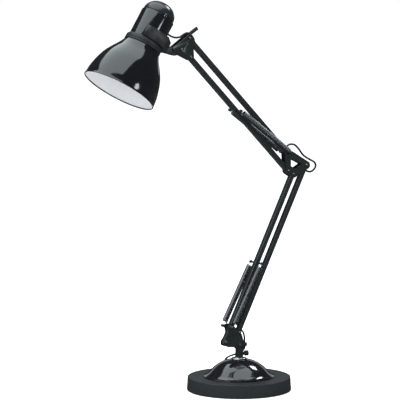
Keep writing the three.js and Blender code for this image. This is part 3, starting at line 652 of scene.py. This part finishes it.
def makeStrainRelief():  # tapered and ribbed, from the gland down to the cord
    reliefRun = [(15.5, 4.2, 87), (15.5, 4.3, 84.8), (15.2, 5.7, 81.4), (14.2, 7.9, 77.6), (12.1, 11, 74)]
    route = [point * mm for point in smoothLine(reliefRun, 9)]

    def swell(share):
        rib = 0.08 if share < 0.85 and round(share * 36) % 3 == 0 else -0.05
        return 1.08 - 0.28 * share + rib

    relief = wirePiece("strainRelief", route, 2.9 * mm, mouldedPlastic, 4, swell)
    return seat(relief, "turret", "moulded_black", "strain_relief")


makeMainsCord()
print("cord made")

# ---- weighted base ----
discLook = {"radius": 105, "top": 28, "edge": 1.8, "wall": 1.4, "hole": 8, "foot": 1.0}
domeLook = {"foot": 72, "wall": 1.4}
domeLine = [
    (72, 29.4), (67, 31.6), (63, 34.4), (59, 38.4), (51, 46.2), (42, 53), (31, 58.8), (18, 62.4), (6.4, 63.5),
]


def makeBase():
    radius, top, wall = discLook["radius"], discLook["top"], discLook["wall"]
    disc = rounded([
        (radius - 0.7, discLook["foot"], 0.3), (radius, discLook["foot"] + 1, 0.6),
        (radius, top, discLook["edge"]), (discLook["hole"], top), (discLook["hole"], top - wall),
        (radius - wall, top - wall, 1.2), (radius - wall, discLook["foot"]),
    ], 5)
    seat(makePiece("baseDisc", spun(disc, 192), [charcoalPaint]), "base", "satin_charcoal", "base_shell")
    outside = smoothLine(domeLine, 6)
    inside = [Vector((radius, height - domeLook["wall"])) for radius, height in smoothLine(domeLine[1:], 6)]
    foot = [(66, top + 0.3), (domeLook["foot"], top + 0.3), (domeLook["foot"] + 0.3, top + 0.9)]
    seat(makePiece("baseDome", spun([*foot, *outside, *reversed(inside)], 160), [blackEnamel]),
         "base", "gloss_black", "dome_cover")
    flange = rounded([
        (0, 5), (4.6, 5), (5.4, 6), (5.4, 63.8), (14.8, 63.8, 0.3), (14.8, 65.1, 0.6), (10.6, 65.1),
        (9.8, 65.7, 0.4), (5, 65.7), (5, 83), (4, 84), (0, 84),
    ])
    seat(makePiece("spindleFlange", spun(flange, 72), [zincSteel]), "base", "satin_black", "spindle")
    grooves = [point for ring in range(14) for point in ((20 + ring * 5.4, 0), (22.4 + ring * 5.4, 0.8))]
    pad = [(0, 0), *grooves, (96, 0), (98, 0.5), (98, 2), (0, 2)]
    seat(makePiece("rubberPad", spun(pad, 96), [rubberSkin]), "base", "rubber_pad", "base_pad")
    seat(makePiece("spindleNut", refined("spindle_nut", 0.5), [zincSteel], scale=1), "base", "bright_steel",
         "spindle_nut")
    cadNodes["base_weight"].data.materials.clear()
    cadNodes["base_weight"].data.materials.append(castIron)


makeBase()
print("base made")

# ---- pins, rivets and springs ----
plateFace = 7.0
pinLook = {"head": 3.5, "rise": 1.8, "springPin": 2.0, "reach": 22, "collar": 3.1}


def acrossArm(place):  # a turned shape's Z axis laid along Y at a point
    return Matrix.Translation((place.x, 0, place.z)) @ Matrix.Rotation(math.radians(-90), 4, "X")


def rivetHead(side):  # a domed head with the small dimple that its setting tool leaves
    rise, head = pinLook["rise"], pinLook["head"]
    line = [(head, plateFace), (head, plateFace + 0.5), (head * 0.86, plateFace + 0.72 * rise),
            (head * 0.6, plateFace + 0.96 * rise), (head * 0.42, plateFace + rise),
            (head * 0.34, plateFace + 0.72 * rise), (0, plateFace + 0.62 * rise)]
    return [(radius, side * height) for radius, height in line]


def pinTip(side):
    reach, collar, thin = pinLook["reach"], pinLook["collar"], pinLook["springPin"]
    line = [(thin, plateFace), (thin, reach - 1.3), (collar, reach - 1.2), (collar, reach - 0.4),
            (collar - 0.5, reach), (0, reach)]
    return [(radius, side * height) for radius, height in line]


def makeRivet(name, node, body):
    outline = [*reversed(rivetHead(-1)), *rivetHead(1)]
    seat(makePiece(name, spun(outline, 32), [darkSteel], acrossArm(middle(node))), body, "bright_steel", node)


def makePins():
    for name, node, body in (
        ("rivetLowerLeft", "pivot_lower_left", "turret"), ("rivetLowerRight", "pivot_lower_right", "turret"),
        ("rivetElbowLow", "pivot_elbow_low", "elbow"), ("rivetElbowLeft", "pivot_elbow_left", "elbow"),
        ("rivetElbowRight", "pivot_elbow_right", "elbow"), ("rivetHeadLow", "pivot_head_low", "head_bracket"),
        ("tiltRivet", "tilt_bolt", "head_bracket"),
    ):
        makeRivet(name, node, body)
    for name, node, body in (
        ("elbowSpringPin", "pivot_elbow_top", "elbow"), ("lowerSpringPin", "lower_spring_pin", "lower_left"),
        ("upperSpringPin", "upper_spring_pin", "upper_low"),
    ):
        outline = [*reversed(pinTip(-1)), *pinTip(1)]
        pin = makePiece(name, spun(outline, 28), [darkSteel], acrossArm(middle(node)))
        seat(pin, body, "bright_steel", node)
    for name, side in (("front", -1), ("back", 1)):
        root = [(0, side * plateFace), (3.8, side * plateFace), (3.8, side * (plateFace + 1.4))]
        node = f"spring_stud_{name}"
        stud = makePiece(f"springStud{name.title()}", spun([*root, *pinTip(side)[1:]], 28), [darkSteel],
                         acrossArm(middle(node)))
        seat(stud, "turret", "bright_steel", node)


springLook = {"outer": 6.1, "wire": 0.75, "pitch": 1.62, "hook": 9, "aside": 18, "perTurn": 16, "loop": 2.9}


def springLine(length):  # hook, close turns and hook, along +X from pin to pin
    coilRadius = springLook["outer"] - springLook["wire"]
    first = springLook["hook"] - 0.4
    turns = math.floor((length - 2 * first) / springLook["pitch"]) + 0.5
    eye = springLook["loop"]
    loop = [(eye * math.cos(math.radians(angle)), eye * math.sin(math.radians(angle)), 0)
            for angle in range(50, 331, 20)]
    hook = [*loop, (4.8, -0.9, -0.9), (7.2, -2.6, -2.6), (first - 0.5, -coilRadius * 0.86, -coilRadius * 0.5)]
    steps = round(turns * springLook["perTurn"])
    coil = []
    for step in range(steps + 1):
        turn = step / steps * turns * math.tau
        coil.append((first + (length - 2 * first) * step / steps, -coilRadius * math.cos(turn),
                     coilRadius * math.sin(turn)))
    otherHook = [(length - x, -y, z) for x, y, z in reversed(hook)]
    return [Vector(point) for point in [*hook, *coil, *otherHook]]


def makeSpring(name, start, end, side, bodies, node):
    along = end - start
    turn = Matrix.Rotation(-math.atan2(along.z, along.x), 4, "Y")
    place = Matrix.Translation((start.x, side * springLook["aside"] * mm, start.z)) @ turn
    place @= Matrix.Scale(mm, 4)
    flip = Matrix.Rotation(math.radians(90), 4, "X")  # the hooks turn round pins that lie along Y
    route = [place @ flip @ point for point in springLine(along.length / mm)]
    spring = wirePiece(name, route, springLook["wire"] * mm, springSteel, 2)
    span(spring, bodies, start, end, "spring_steel", node)


def makeSprings():
    stud, lowerEnd = middle("spring_stud_front"), middle("lower_spring_pin")
    elbowPin, upperEnd = middle("pivot_elbow_top"), middle("upper_spring_pin")
    for where, side in (("front", -1), ("back", 1)):
        for arm, ends, bodies in (("lower", (stud, lowerEnd), ("turret", "lower_left")),
                                  ("upper", (elbowPin, upperEnd), ("elbow", "upper_low"))):
            start, end = (Vector((point.x, 0, point.z)) for point in ends)
            makeSpring(f"{arm}Spring{where.title()}", start, end, side, bodies, f"{arm}_spring_{where}")


makePins()
makeSprings()
print("pins and springs made")

# ---- post, bracket and thumb screw ----
postLook = {"outer": 7.7, "inner": 5.3, "low": 65.9, "high": 86, "screw": 73}


def makeTurret():
    outer, inner = postLook["outer"], postLook["inner"]
    sleeve = spun(rounded([(inner, postLook["low"]), (outer, postLook["low"], 0.7), (outer, postLook["high"]),
                           (inner, postLook["high"])]), 72)
    neck = block((-9, -5.2, 84.5), (6, 5.2, 96), 0.8)
    boss = spun(rounded([(2.2, 7), (4.2, 7), (4.2, 9.4, 0.6), (2.2, 9.4)]), 32)
    bmesh.ops.rotate(boss, matrix=Matrix.Rotation(math.radians(90), 3, "Y"), verts=boss.verts)
    bmesh.ops.translate(boss, vec=(0, 0, postLook["screw"]), verts=boss.verts)
    post = makePiece("swivelPost", joined(sleeve, neck, boss), [armPaint])
    seat(post, "turret", "satin_black", "swivel_post")
    for name, node in (("bracketFront", "bracket_plate_front"), ("bracketBack", "bracket_plate_back")):
        seat(makePiece(name, refined(node, 0.45, 3), [armPaint], scale=1), "turret", "satin_black", node)
    head = [(0, -9.3), (2.4, -9.2), (3.5, -8.6), (3.8, -7.8), (3.8, -7), (2.1, -7)]
    nut = [(2.1, 7), (3.8, 7, 0.2), (3.8, 9.1, 0.4), (0, 9.1)]
    screw = joined(spun([*head, (2.1, 6.9), (0, 6.9)], 32), spun([(0, 6.9), *rounded(nut)], 6))
    seat(makePiece("bracketScrew", screw, [darkSteel], acrossArm(Vector((-0.002, 0, 0.0915)))), "turret",
         "bright_steel", "bracket_screw")
    seat(makePiece("cordGland", refined("cord_gland", 0.8, 3), [mouldedPlastic], scale=1), "turret",
         "moulded_black", "cord_gland")


def makeThumbScrew():
    grip = [(0, 13), (3.2, 13), (3.2, 14.5), (5.2, 14.5), (5.7, 15.2), (5.7, 20.2), (5.2, 20.9), (3.4, 21),
            (3, 20.5), (0, 20.5)]
    head = spun(rounded(grip), 48)
    fluted(head, 5.5, 15.3, 20.1, 0.35)
    shank = spun([(0, 5.6), (1.9, 5.6), (1.9, 13.4), (0, 13.4)], 24)
    place = Matrix.Translation((0, 0, postLook["screw"] * mm)) @ Matrix.Rotation(math.radians(90), 4, "Y")
    knob = makePiece("thumbScrewHead", head, [mouldedPlastic], place)
    seat(knob, "thumb_screw", "moulded_black", "thumb_screw")
    seat(makePiece("thumbScrewShank", shank, [zincSteel], place), "thumb_screw", "bright_steel")


makeTurret()
makeThumbScrew()
print("post made")

# ---- arms ----
railLook = {"size": 10, "wall": 1.0, "corner": 1.4, "past": 4.8, "depth": 16, "hole": 2.6}
lowerLeft, lowerRight = jointPlace["lower_left_follow"], jointPlace["lower_arm"]
elbowLeft, elbowRight = middle("pivot_elbow_left"), jointPlace["elbow_level"]
elbowLow, elbowTop = jointPlace["upper_low_follow"], jointPlace["upper_arm"]
headLow, headTop = middle("pivot_head_low"), jointPlace["head_level"]
tiltBolt = jointPlace["head_tilt"]


def alongRail(start, end):  # +X from the first pivot to the second, in metres
    way = end - start
    return Matrix.Translation((start.x, 0, start.z)) @ Matrix.Rotation(-math.atan2(way.z, way.x), 4, "Y")


def grommet(at):  # a rubber ring where a lead goes into a tube
    hole, out = railLook["hole"], railLook["size"] / 2
    ring = spun(rounded([(hole - 0.6, out - 0.8), (hole + 1.1, out - 0.1), (hole + 0.9, out + 0.7, 0.4),
                         (hole - 0.2, out + 0.9, 0.3)]), 24)
    bmesh.ops.rotate(ring, matrix=Matrix.Rotation(math.pi, 3, "X"), verts=ring.verts)
    bmesh.ops.translate(ring, vec=(at, 0, 0), verts=ring.verts)
    return ring


def makeRail(name, node, body, start, end, leads=()):
    size, past = railLook["size"], railLook["past"]
    length = (end - start).length / mm
    form = bmesh.new()
    bmesh.ops.create_cube(form, size=1)
    bmesh.ops.scale(form, vec=(length + 2 * past, size, size), verts=form.verts)
    bmesh.ops.translate(form, vec=(length / 2, 0, 0), verts=form.verts)
    corners = [line for line in form.edges if (line.verts[0].co - line.verts[1].co).length > 2 * size]
    bmesh.ops.bevel(form, geom=corners, offset=railLook["corner"], segments=4, profile=0.5, affect="EDGES",
                    material=-1)
    ends = [face for face in form.faces if abs(face.normal.x) > 0.9]
    bmesh.ops.inset_region(form, faces=ends, thickness=railLook["wall"], use_even_offset=True)
    bmesh.ops.inset_region(form, faces=ends, thickness=0.01, depth=-railLook["depth"])
    seat(makePiece(name, form, [armPaint], alongRail(start, end)), body, "satin_black", node)
    for index, at in enumerate(leads):
        ring = makePiece(f"{name}Grommet{index + 1}", grommet(at), [rubberSkin], alongRail(start, end))
        seat(ring, body, "rubber_pad")


lowerSpan, upperSpan = (elbowLeft - lowerLeft).length / mm, (headLow - elbowLow).length / mm
makeRail("lowerTubeLeft", "lower_rail_left", "lower_left", lowerLeft, elbowLeft)
makeRail("lowerTubeRight", "lower_rail_right", "lower_right", lowerRight, elbowRight, (7, lowerSpan - 9))
makeRail("upperTubeLow", "upper_rail_low", "upper_low", elbowLow, headLow)
makeRail("upperTubeTop", "upper_rail_top", "upper_top", elbowTop, headTop, (7, upperSpan - 14))


# ---- brackets at the elbow and the head ----
def makeBrackets():
    for name, node, body in (
        ("elbowPlateFront", "elbow_plate_front", "elbow"), ("elbowPlateBack", "elbow_plate_back", "elbow"),
        ("headPlateFront", "head_plate_front", "head_bracket"),
        ("headPlateBack", "head_plate_back", "head_bracket"),
    ):
        seat(makePiece(name, refined(node, 0.45, 3), [armPaint], scale=1), body, "satin_black", node)
    spacer = [(0, -8.2), (2.4, -8.2), (2.4, -7), (1.6, -7), (1.6, -5.1), (2.9, -5.1)]
    outline = [*spacer, *((radius, -height) for radius, height in reversed(spacer))]
    spacerPiece = makePiece("plateSpacer", spun(outline, 24), [darkSteel], acrossArm(middle("plate_spacer")))
    seat(spacerPiece, "head_bracket", "bright_steel", "plate_spacer")
    bolt = [(0, -9.2), (2.6, -9.1), (3.7, -8.4), (4, -7.6), (4, -7), (2.4, -7), (2.4, 19), (0, 19)]
    boltPiece = makePiece("knobBolt", spun(bolt, 28), [darkSteel], acrossArm(headTop))
    seat(boltPiece, "head_bracket", "bright_steel", "knob_bolt")


knobLook = {"turn": 31.5, "span": 35, "low": 7.4, "high": 17}


def makeWingKnob():
    low, high = knobLook["low"], knobLook["high"]
    hub = spun(rounded([(0, low), (6, low, 0.5), (5.3, high, 1.2), (3.2, high), (3.2, high - 1.2),
                        (0, high - 1.2)]), 40)
    wings = block((-knobLook["span"], -3.6, low + 2), (knobLook["span"], 3.6, low + 6.4), 1.2, 3)
    place = acrossArm(headTop) @ Matrix.Rotation(math.radians(-knobLook["turn"]), 4, "Z")
    knob = makePiece("wingKnob", joined(hub, wings), [mouldedPlastic], place)
    seat(knob, "wing_knob", "moulded_black", "wing_knob")


makeBrackets()
makeWingKnob()
print("arms and brackets made")

# ---- head, drawn with its origin at the mouth's middle, +Z up its axis and +X to the arm ----
headLook = {"tilt": 32.7, "reach": 79.5, "boltHeight": 139.2}
headTurn = Matrix.Rotation(math.radians(headLook["tilt"]), 4, "Y")
headCentre = tiltBolt - headTurn @ (Vector((headLook["reach"], 0, headLook["boltHeight"])) * mm)
headPlace = Matrix.Translation((headCentre.x, 0, headCentre.z)) @ headTurn
shadeLine = [(74.5, 0), (73.6, 14), (71, 28), (66.8, 43), (60.8, 58), (52, 73), (43.5, 86), (37.2, 98)]
shadeWall = 1.2


def makeShade():
    outside = smoothLine(shadeLine, 5)
    inside = [Vector((radius - shadeWall, height)) for radius, height in smoothLine(shadeLine[:-1], 5)]
    rim = [(73, 1.8), (72.7, 0.8), (72.9, -0.3), (73.7, -0.8), (74.6, -0.6), (75.1, 0.2), (74.8, 1.3),
           (74.5, 1.9)]
    neck = [(36.4, 98.2), (21.5, 98.2), (21.5, 96.8), (35.4, 96.8)]
    form = spun([*rim, *outside[1:], *neck, *reversed(inside[2:])], 160)
    for face in form.faces:
        centre = face.calc_center_median()
        outward = Vector((centre.x, centre.y, centre.z - 40))
        face.material_index = 0 if face.normal.dot(outward) > 0 or centre.z < 2 else 1
    shade = makePiece("bellShade", form, [blackEnamel, whiteEnamel], headPlace)
    seat(shade, "head", "gloss_black", "shade")


def makeHousing():
    collar = rounded([
        (34.4, 99), (38.1, 99, 0.6), (38.1, 101.6, 0.8), (37, 102.2, 0.3), (37, 103, 0.3), (37.8, 103.6, 0.6),
        (37.8, 108.6, 0.9), (36.2, 111, 0.8), (34.4, 111.8),
    ])
    ring = makePiece("collarRing", spun(collar, 128), [charcoalPaint], headPlace)
    seat(ring, "head", "satin_charcoal", "collar_ring")
    can = rounded([(22, 99), (34, 99), (34, 167, 0.8), (32, 167), (32, 101), (22, 101)])
    seat(makePiece("socketHousing", spun(can, 128), [blackEnamel], headPlace), "head", "gloss_black",
         "housing")
    crown = [(32.3 * math.cos(turn) ** 0.9, 170 + 25.5 * math.sin(turn))
             for turn in (math.radians(step * 4.5) for step in range(20))]
    cap = [(30.4, 163), (30.4, 169.2), (31.7, 169.2), (32.3, 169.7), *crown[1:], (0, 195.5), (0, 193),
           (20, 187.5), (28.4, 171.5), (28.4, 163)]
    seat(makePiece("housingCap", spun(cap, 128), [capEnamel], headPlace), "head", "gloss_black",
         "housing_cap")


def makeClamp():
    seat(makePiece("headClamp", refined("head_clamp", 0.9, 3, 40), [mouldedPlastic], scale=1), "head",
         "moulded_black", "head_clamp")
    seat(makePiece("headStem", refined("head_stem", 0.9, 3), [mouldedPlastic], scale=1), "head_stem",
         "moulded_black", "head_stem")


def makeSocket():
    ring = rounded([(19.4, 92.5), (24, 92.5, 0.6), (24.6, 93.5, 0.6), (24.6, 96.5), (19.4, 96.5)])
    seat(makePiece("shadeRing", spun(ring, 72), [glazedClay], headPlace), "head", "porcelain", "shade_ring")
    holder = rounded([(14.2, 93), (18.8, 93, 1), (18.8, 128, 2), (17, 134, 2), (17, 140, 0.6), (0, 140),
                      (0, 130), (14.2, 130, 1)])
    seat(makePiece("lampHolder", spun(holder, 72), [glazedClay], headPlace), "head", "porcelain",
         "lamp_holder")
    threads = [point for turn in range(6) for point in ((12.2, 105 + turn * 3.4), (12.7, 106.7 + turn * 3.4))]
    cap = [(0, 104.4), *threads, (8, 126), (4, 128.5), (0, 128.5)]
    seat(makePiece("bulbCap", spun(cap, 48), [zincSteel], headPlace), "head", "bright_steel", "bulb_cap")
    bulbLine = [(0, 25), (10.5, 26), (20.5, 31), (27.4, 40), (30, 51), (28.8, 61), (24.5, 72), (18, 83),
                (13.6, 92), (12.7, 96), (12.4, 104)]
    bulb = [*smoothLine(bulbLine, 4), (0, 104)]
    seat(makePiece("frostedBulb", spun(bulb, 72), [frostedGlass], headPlace), "head", "bulb_glass",
         "bulb_glass")
    plate = rounded([(3, 140.4), (31.5, 140.4, 0.3), (31.5, 141.9, 0.3), (3, 141.9)])
    seat(makePiece("holderPlate", spun(plate, 72), [zincSteel], headPlace), "head", "bright_steel",
         "holder_plate")
    switch = block((-12, 16, 144.5), (0, 29, 156.9), 0.8)
    seat(makePiece("switchBody", switch, [mouldedPlastic], headPlace), "head", "moulded_black", "switch_body")
    grip = [(0, 29.4), (2.8, 29.4), (2.8, 35), (6.6, 35), (6.7, 36), (5.8, 43.5), (4.8, 44.5), (0, 44.5)]
    knob = spun(grip, 40)
    fluted(knob, 5.7, 36.5, 43.2, 0.4)
    place = headPlace @ Matrix.Translation((-0.006, 0, 0.1515)) @ Matrix.Rotation(math.radians(-90), 4, "X")
    seat(makePiece("switchKnob", knob, [mouldedPlastic], place), "switch_knob", "moulded_black",
         "switch_knob")


makeShade()
makeHousing()
makeClamp()
makeSocket()
print("head made")

# ---- leads outside the tubes ----
leadRadius = 2.0
elbowLoop = [  # from the elbow's top pivot, in x and z
    (-3.2, 6.7), (-1.4, 8.5), (2.2, 12), (8.4, 15.4), (16.5, 15.4), (24, 12.4), (33, 3.5), (41, -6),
    (49.5, -12.6), (60, -18.2), (70, -23.4), (74.4, -29.5), (73, -35.6), (67.3, -41), (60.4, -43.2),
    (53.8, -41.8), (48, -38.9), (45.9, -37.9),
]
headLoop = [  # from the head bracket's top pivot
    (-48.5, 4, 12), (-43, 3.8, 7.6), (-36, 3, 3.8), (-28, 1.5, 1.6), (-19, 0, 2.6), (-11.5, 0, 6.6),
    (-4.6, 0, 9.6), (1.8, 0, 9), (7.2, 0, 5.6), (11.4, 0, 1), (13.9, 0, -3.4), (13.9, 0, -7.4),
    (12.2, 0, -9.8),
]
postLoop = [  # from the right lower pivot, in x and z
    (4.9, 5.35), (7.6, 4), (11.2, 2), (14.8, -1.8), (17.2, -7.4), (18.7, -13.8), (19.1, -19.4), (19.1, -22.2),
]


def makeLead(name, route, share, bodies, node):  # a stretch of a route, bending between two bodies
    first, last = (round(part * (len(route) - 1)) for part in share)
    stretch = route[first:last + 1]
    lead = wirePiece(name, stretch, leadRadius * mm, cordSheath, 4)
    span(lead, bodies, stretch[0], stretch[-1], "cord_black", node)


def makeLeads():
    elbowRoute = [elbowTop + Vector((x, 0, z)) * mm for x, z in smoothLine(elbowLoop, 6)]
    makeLead("elbowLeadUpper", elbowRoute, (0, 0.5), ("upper_top", "elbow"), "elbow_lead")
    makeLead("elbowLeadLower", elbowRoute, (0.5, 1), ("elbow", "lower_right"), "elbow_lead")
    headRoute = [headTop + Vector(point) * mm for point in smoothLine(headLoop, 8)]
    makeLead("headLeadOuter", headRoute, (0, 0.2), ("head", "head_stem"), "head_lead")
    makeLead("headLeadMiddle", headRoute, (0.2, 0.5), ("head_stem", "head_bracket"), "head_lead")
    makeLead("headLeadInner", headRoute, (0.5, 1), ("head_bracket", "upper_top"), "head_lead")
    aside = [4.2 * max(0, index - 1) / 6 for index in range(len(postLoop))]
    points = [(x, y, z) for (x, z), y in zip(postLoop, aside)]
    postRoute = [lowerRight + Vector(point) * mm for point in smoothLine(points, 6)]
    makeLead("postLead", postRoute, (0, 1), ("lower_right", "turret"), "lower_lead")


makeLeads()
print("leads made")


# ---- floor, background and lights ----
studio = {
    "floor": 14, "floorColour": (0.9, 0.9, 0.9, 1), "floorLight": (0.92, 0.92, 0.92, 1),
    "mirrored": (0.04, 0.045, 0.045, 1), "glow": 0.3, "backdrop": 1.0, "room": 0.035,
}
softboxes = {
    "frontLeft": {"turn": -50, "rise": 29, "away": 2.6, "size": (4.2, 1.4), "watts": 50,
                  "aim": (-0.1, 0, 0.5)},
    "top": {"turn": -120, "rise": 78, "away": 2.2, "size": (2.9, 3.0), "watts": 64,
            "aim": (-0.22, -0.42, 0.3)},
    "small": {"turn": 50, "rise": 14, "away": 2.6, "size": (0.5, 0.5), "watts": 7, "aim": (0, 0, 0.4)},
    "backRight": {"turn": 134, "rise": 48, "away": 2.6, "size": (0.5, 0.5), "watts": 16, "aim": (0, 0, 0.2)},
    "back": {"turn": 180, "rise": 11, "away": 2.8, "size": (4.5, 0.5), "watts": 4, "aim": (0, 0, 0.3)},
}
tint = (0.87, 0.97, 1)


def addFloor():
    form = bmesh.new()
    bmesh.ops.create_grid(form, x_segments=4, y_segments=4, size=studio["floor"])
    finish, tree, shader = newFinish("paleFloor", Roughness=0.9, Specular_IOR_Level=0.1,
                                     Emission_Color=(1, 1, 1, 1))
    paper = addNode(tree, "TexNoise", {"Scale": 3, "Detail": 3})
    tone = mixed(tree, paper.outputs["Fac"], studio["floorColour"], studio["floorLight"])
    mirrored = addNode(tree, "LightPath").outputs["Is Glossy Ray"]
    tree.links.new(mixed(tree, mirrored, tone, studio["mirrored"]), shader.inputs["Base Color"])
    glow = addNode(tree, "MapRange", {"Value": mirrored, "To Min": studio["glow"], "To Max": 0})
    tree.links.new(glow.outputs[0], shader.inputs["Emission Strength"])
    floor = makePiece("paleFloor", form, [finish], scale=1)
    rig.stage(floor)


def addSoftbox(name, look):
    light = bpy.data.lights.new(name, "AREA")
    light.shape = "RECTANGLE"
    light.size, light.size_y = look["size"]
    light.energy = look["watts"]
    light.color = tint
    turn = math.radians(cameraView["turn"] + 180 + look["turn"])
    rise = math.radians(look["rise"])
    way = Vector((-math.sin(turn) * math.cos(rise), math.cos(turn) * math.cos(rise), math.sin(rise)))
    lamp = bpy.data.objects.new(name, light)
    lamp.location = Vector(look["aim"]) + way * look["away"]
    lamp.rotation_euler = way.to_track_quat("Z", "Y").to_euler()
    lamp.visible_camera = False
    scene.collection.objects.link(lamp)


def addBackdrop():  # an even white room, but dim where the lamp mirrors it
    world = bpy.data.worlds.new("studioRoom")
    world.use_nodes = True
    scene.world = world
    tree = world.node_tree
    tree.nodes.clear()
    white = addNode(tree, "Background", {"Color": (1, 1, 1, 1), "Strength": studio["backdrop"]})
    dim = addNode(tree, "Background", {"Color": (0.9, 0.95, 1, 1), "Strength": studio["room"]})
    mirrored = addNode(tree, "LightPath").outputs["Is Glossy Ray"]
    both = addNode(tree, "MixShader", {0: mirrored, 1: white.outputs[0], 2: dim.outputs[0]})
    tree.links.new(both.outputs[0], addNode(tree, "OutputWorld").inputs[0])


addFloor()
for boxName, boxLook in softboxes.items():
    addSoftbox(boxName, boxLook)
addBackdrop()
scene.view_settings.view_transform = "Standard"
print("studio made")

with open("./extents.json", "w") as sizeFile:
    json.dump({"cad": [list(corner) for corner in cadBox],
               "visual": [list(corner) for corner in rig.bounds()]}, sizeFile)
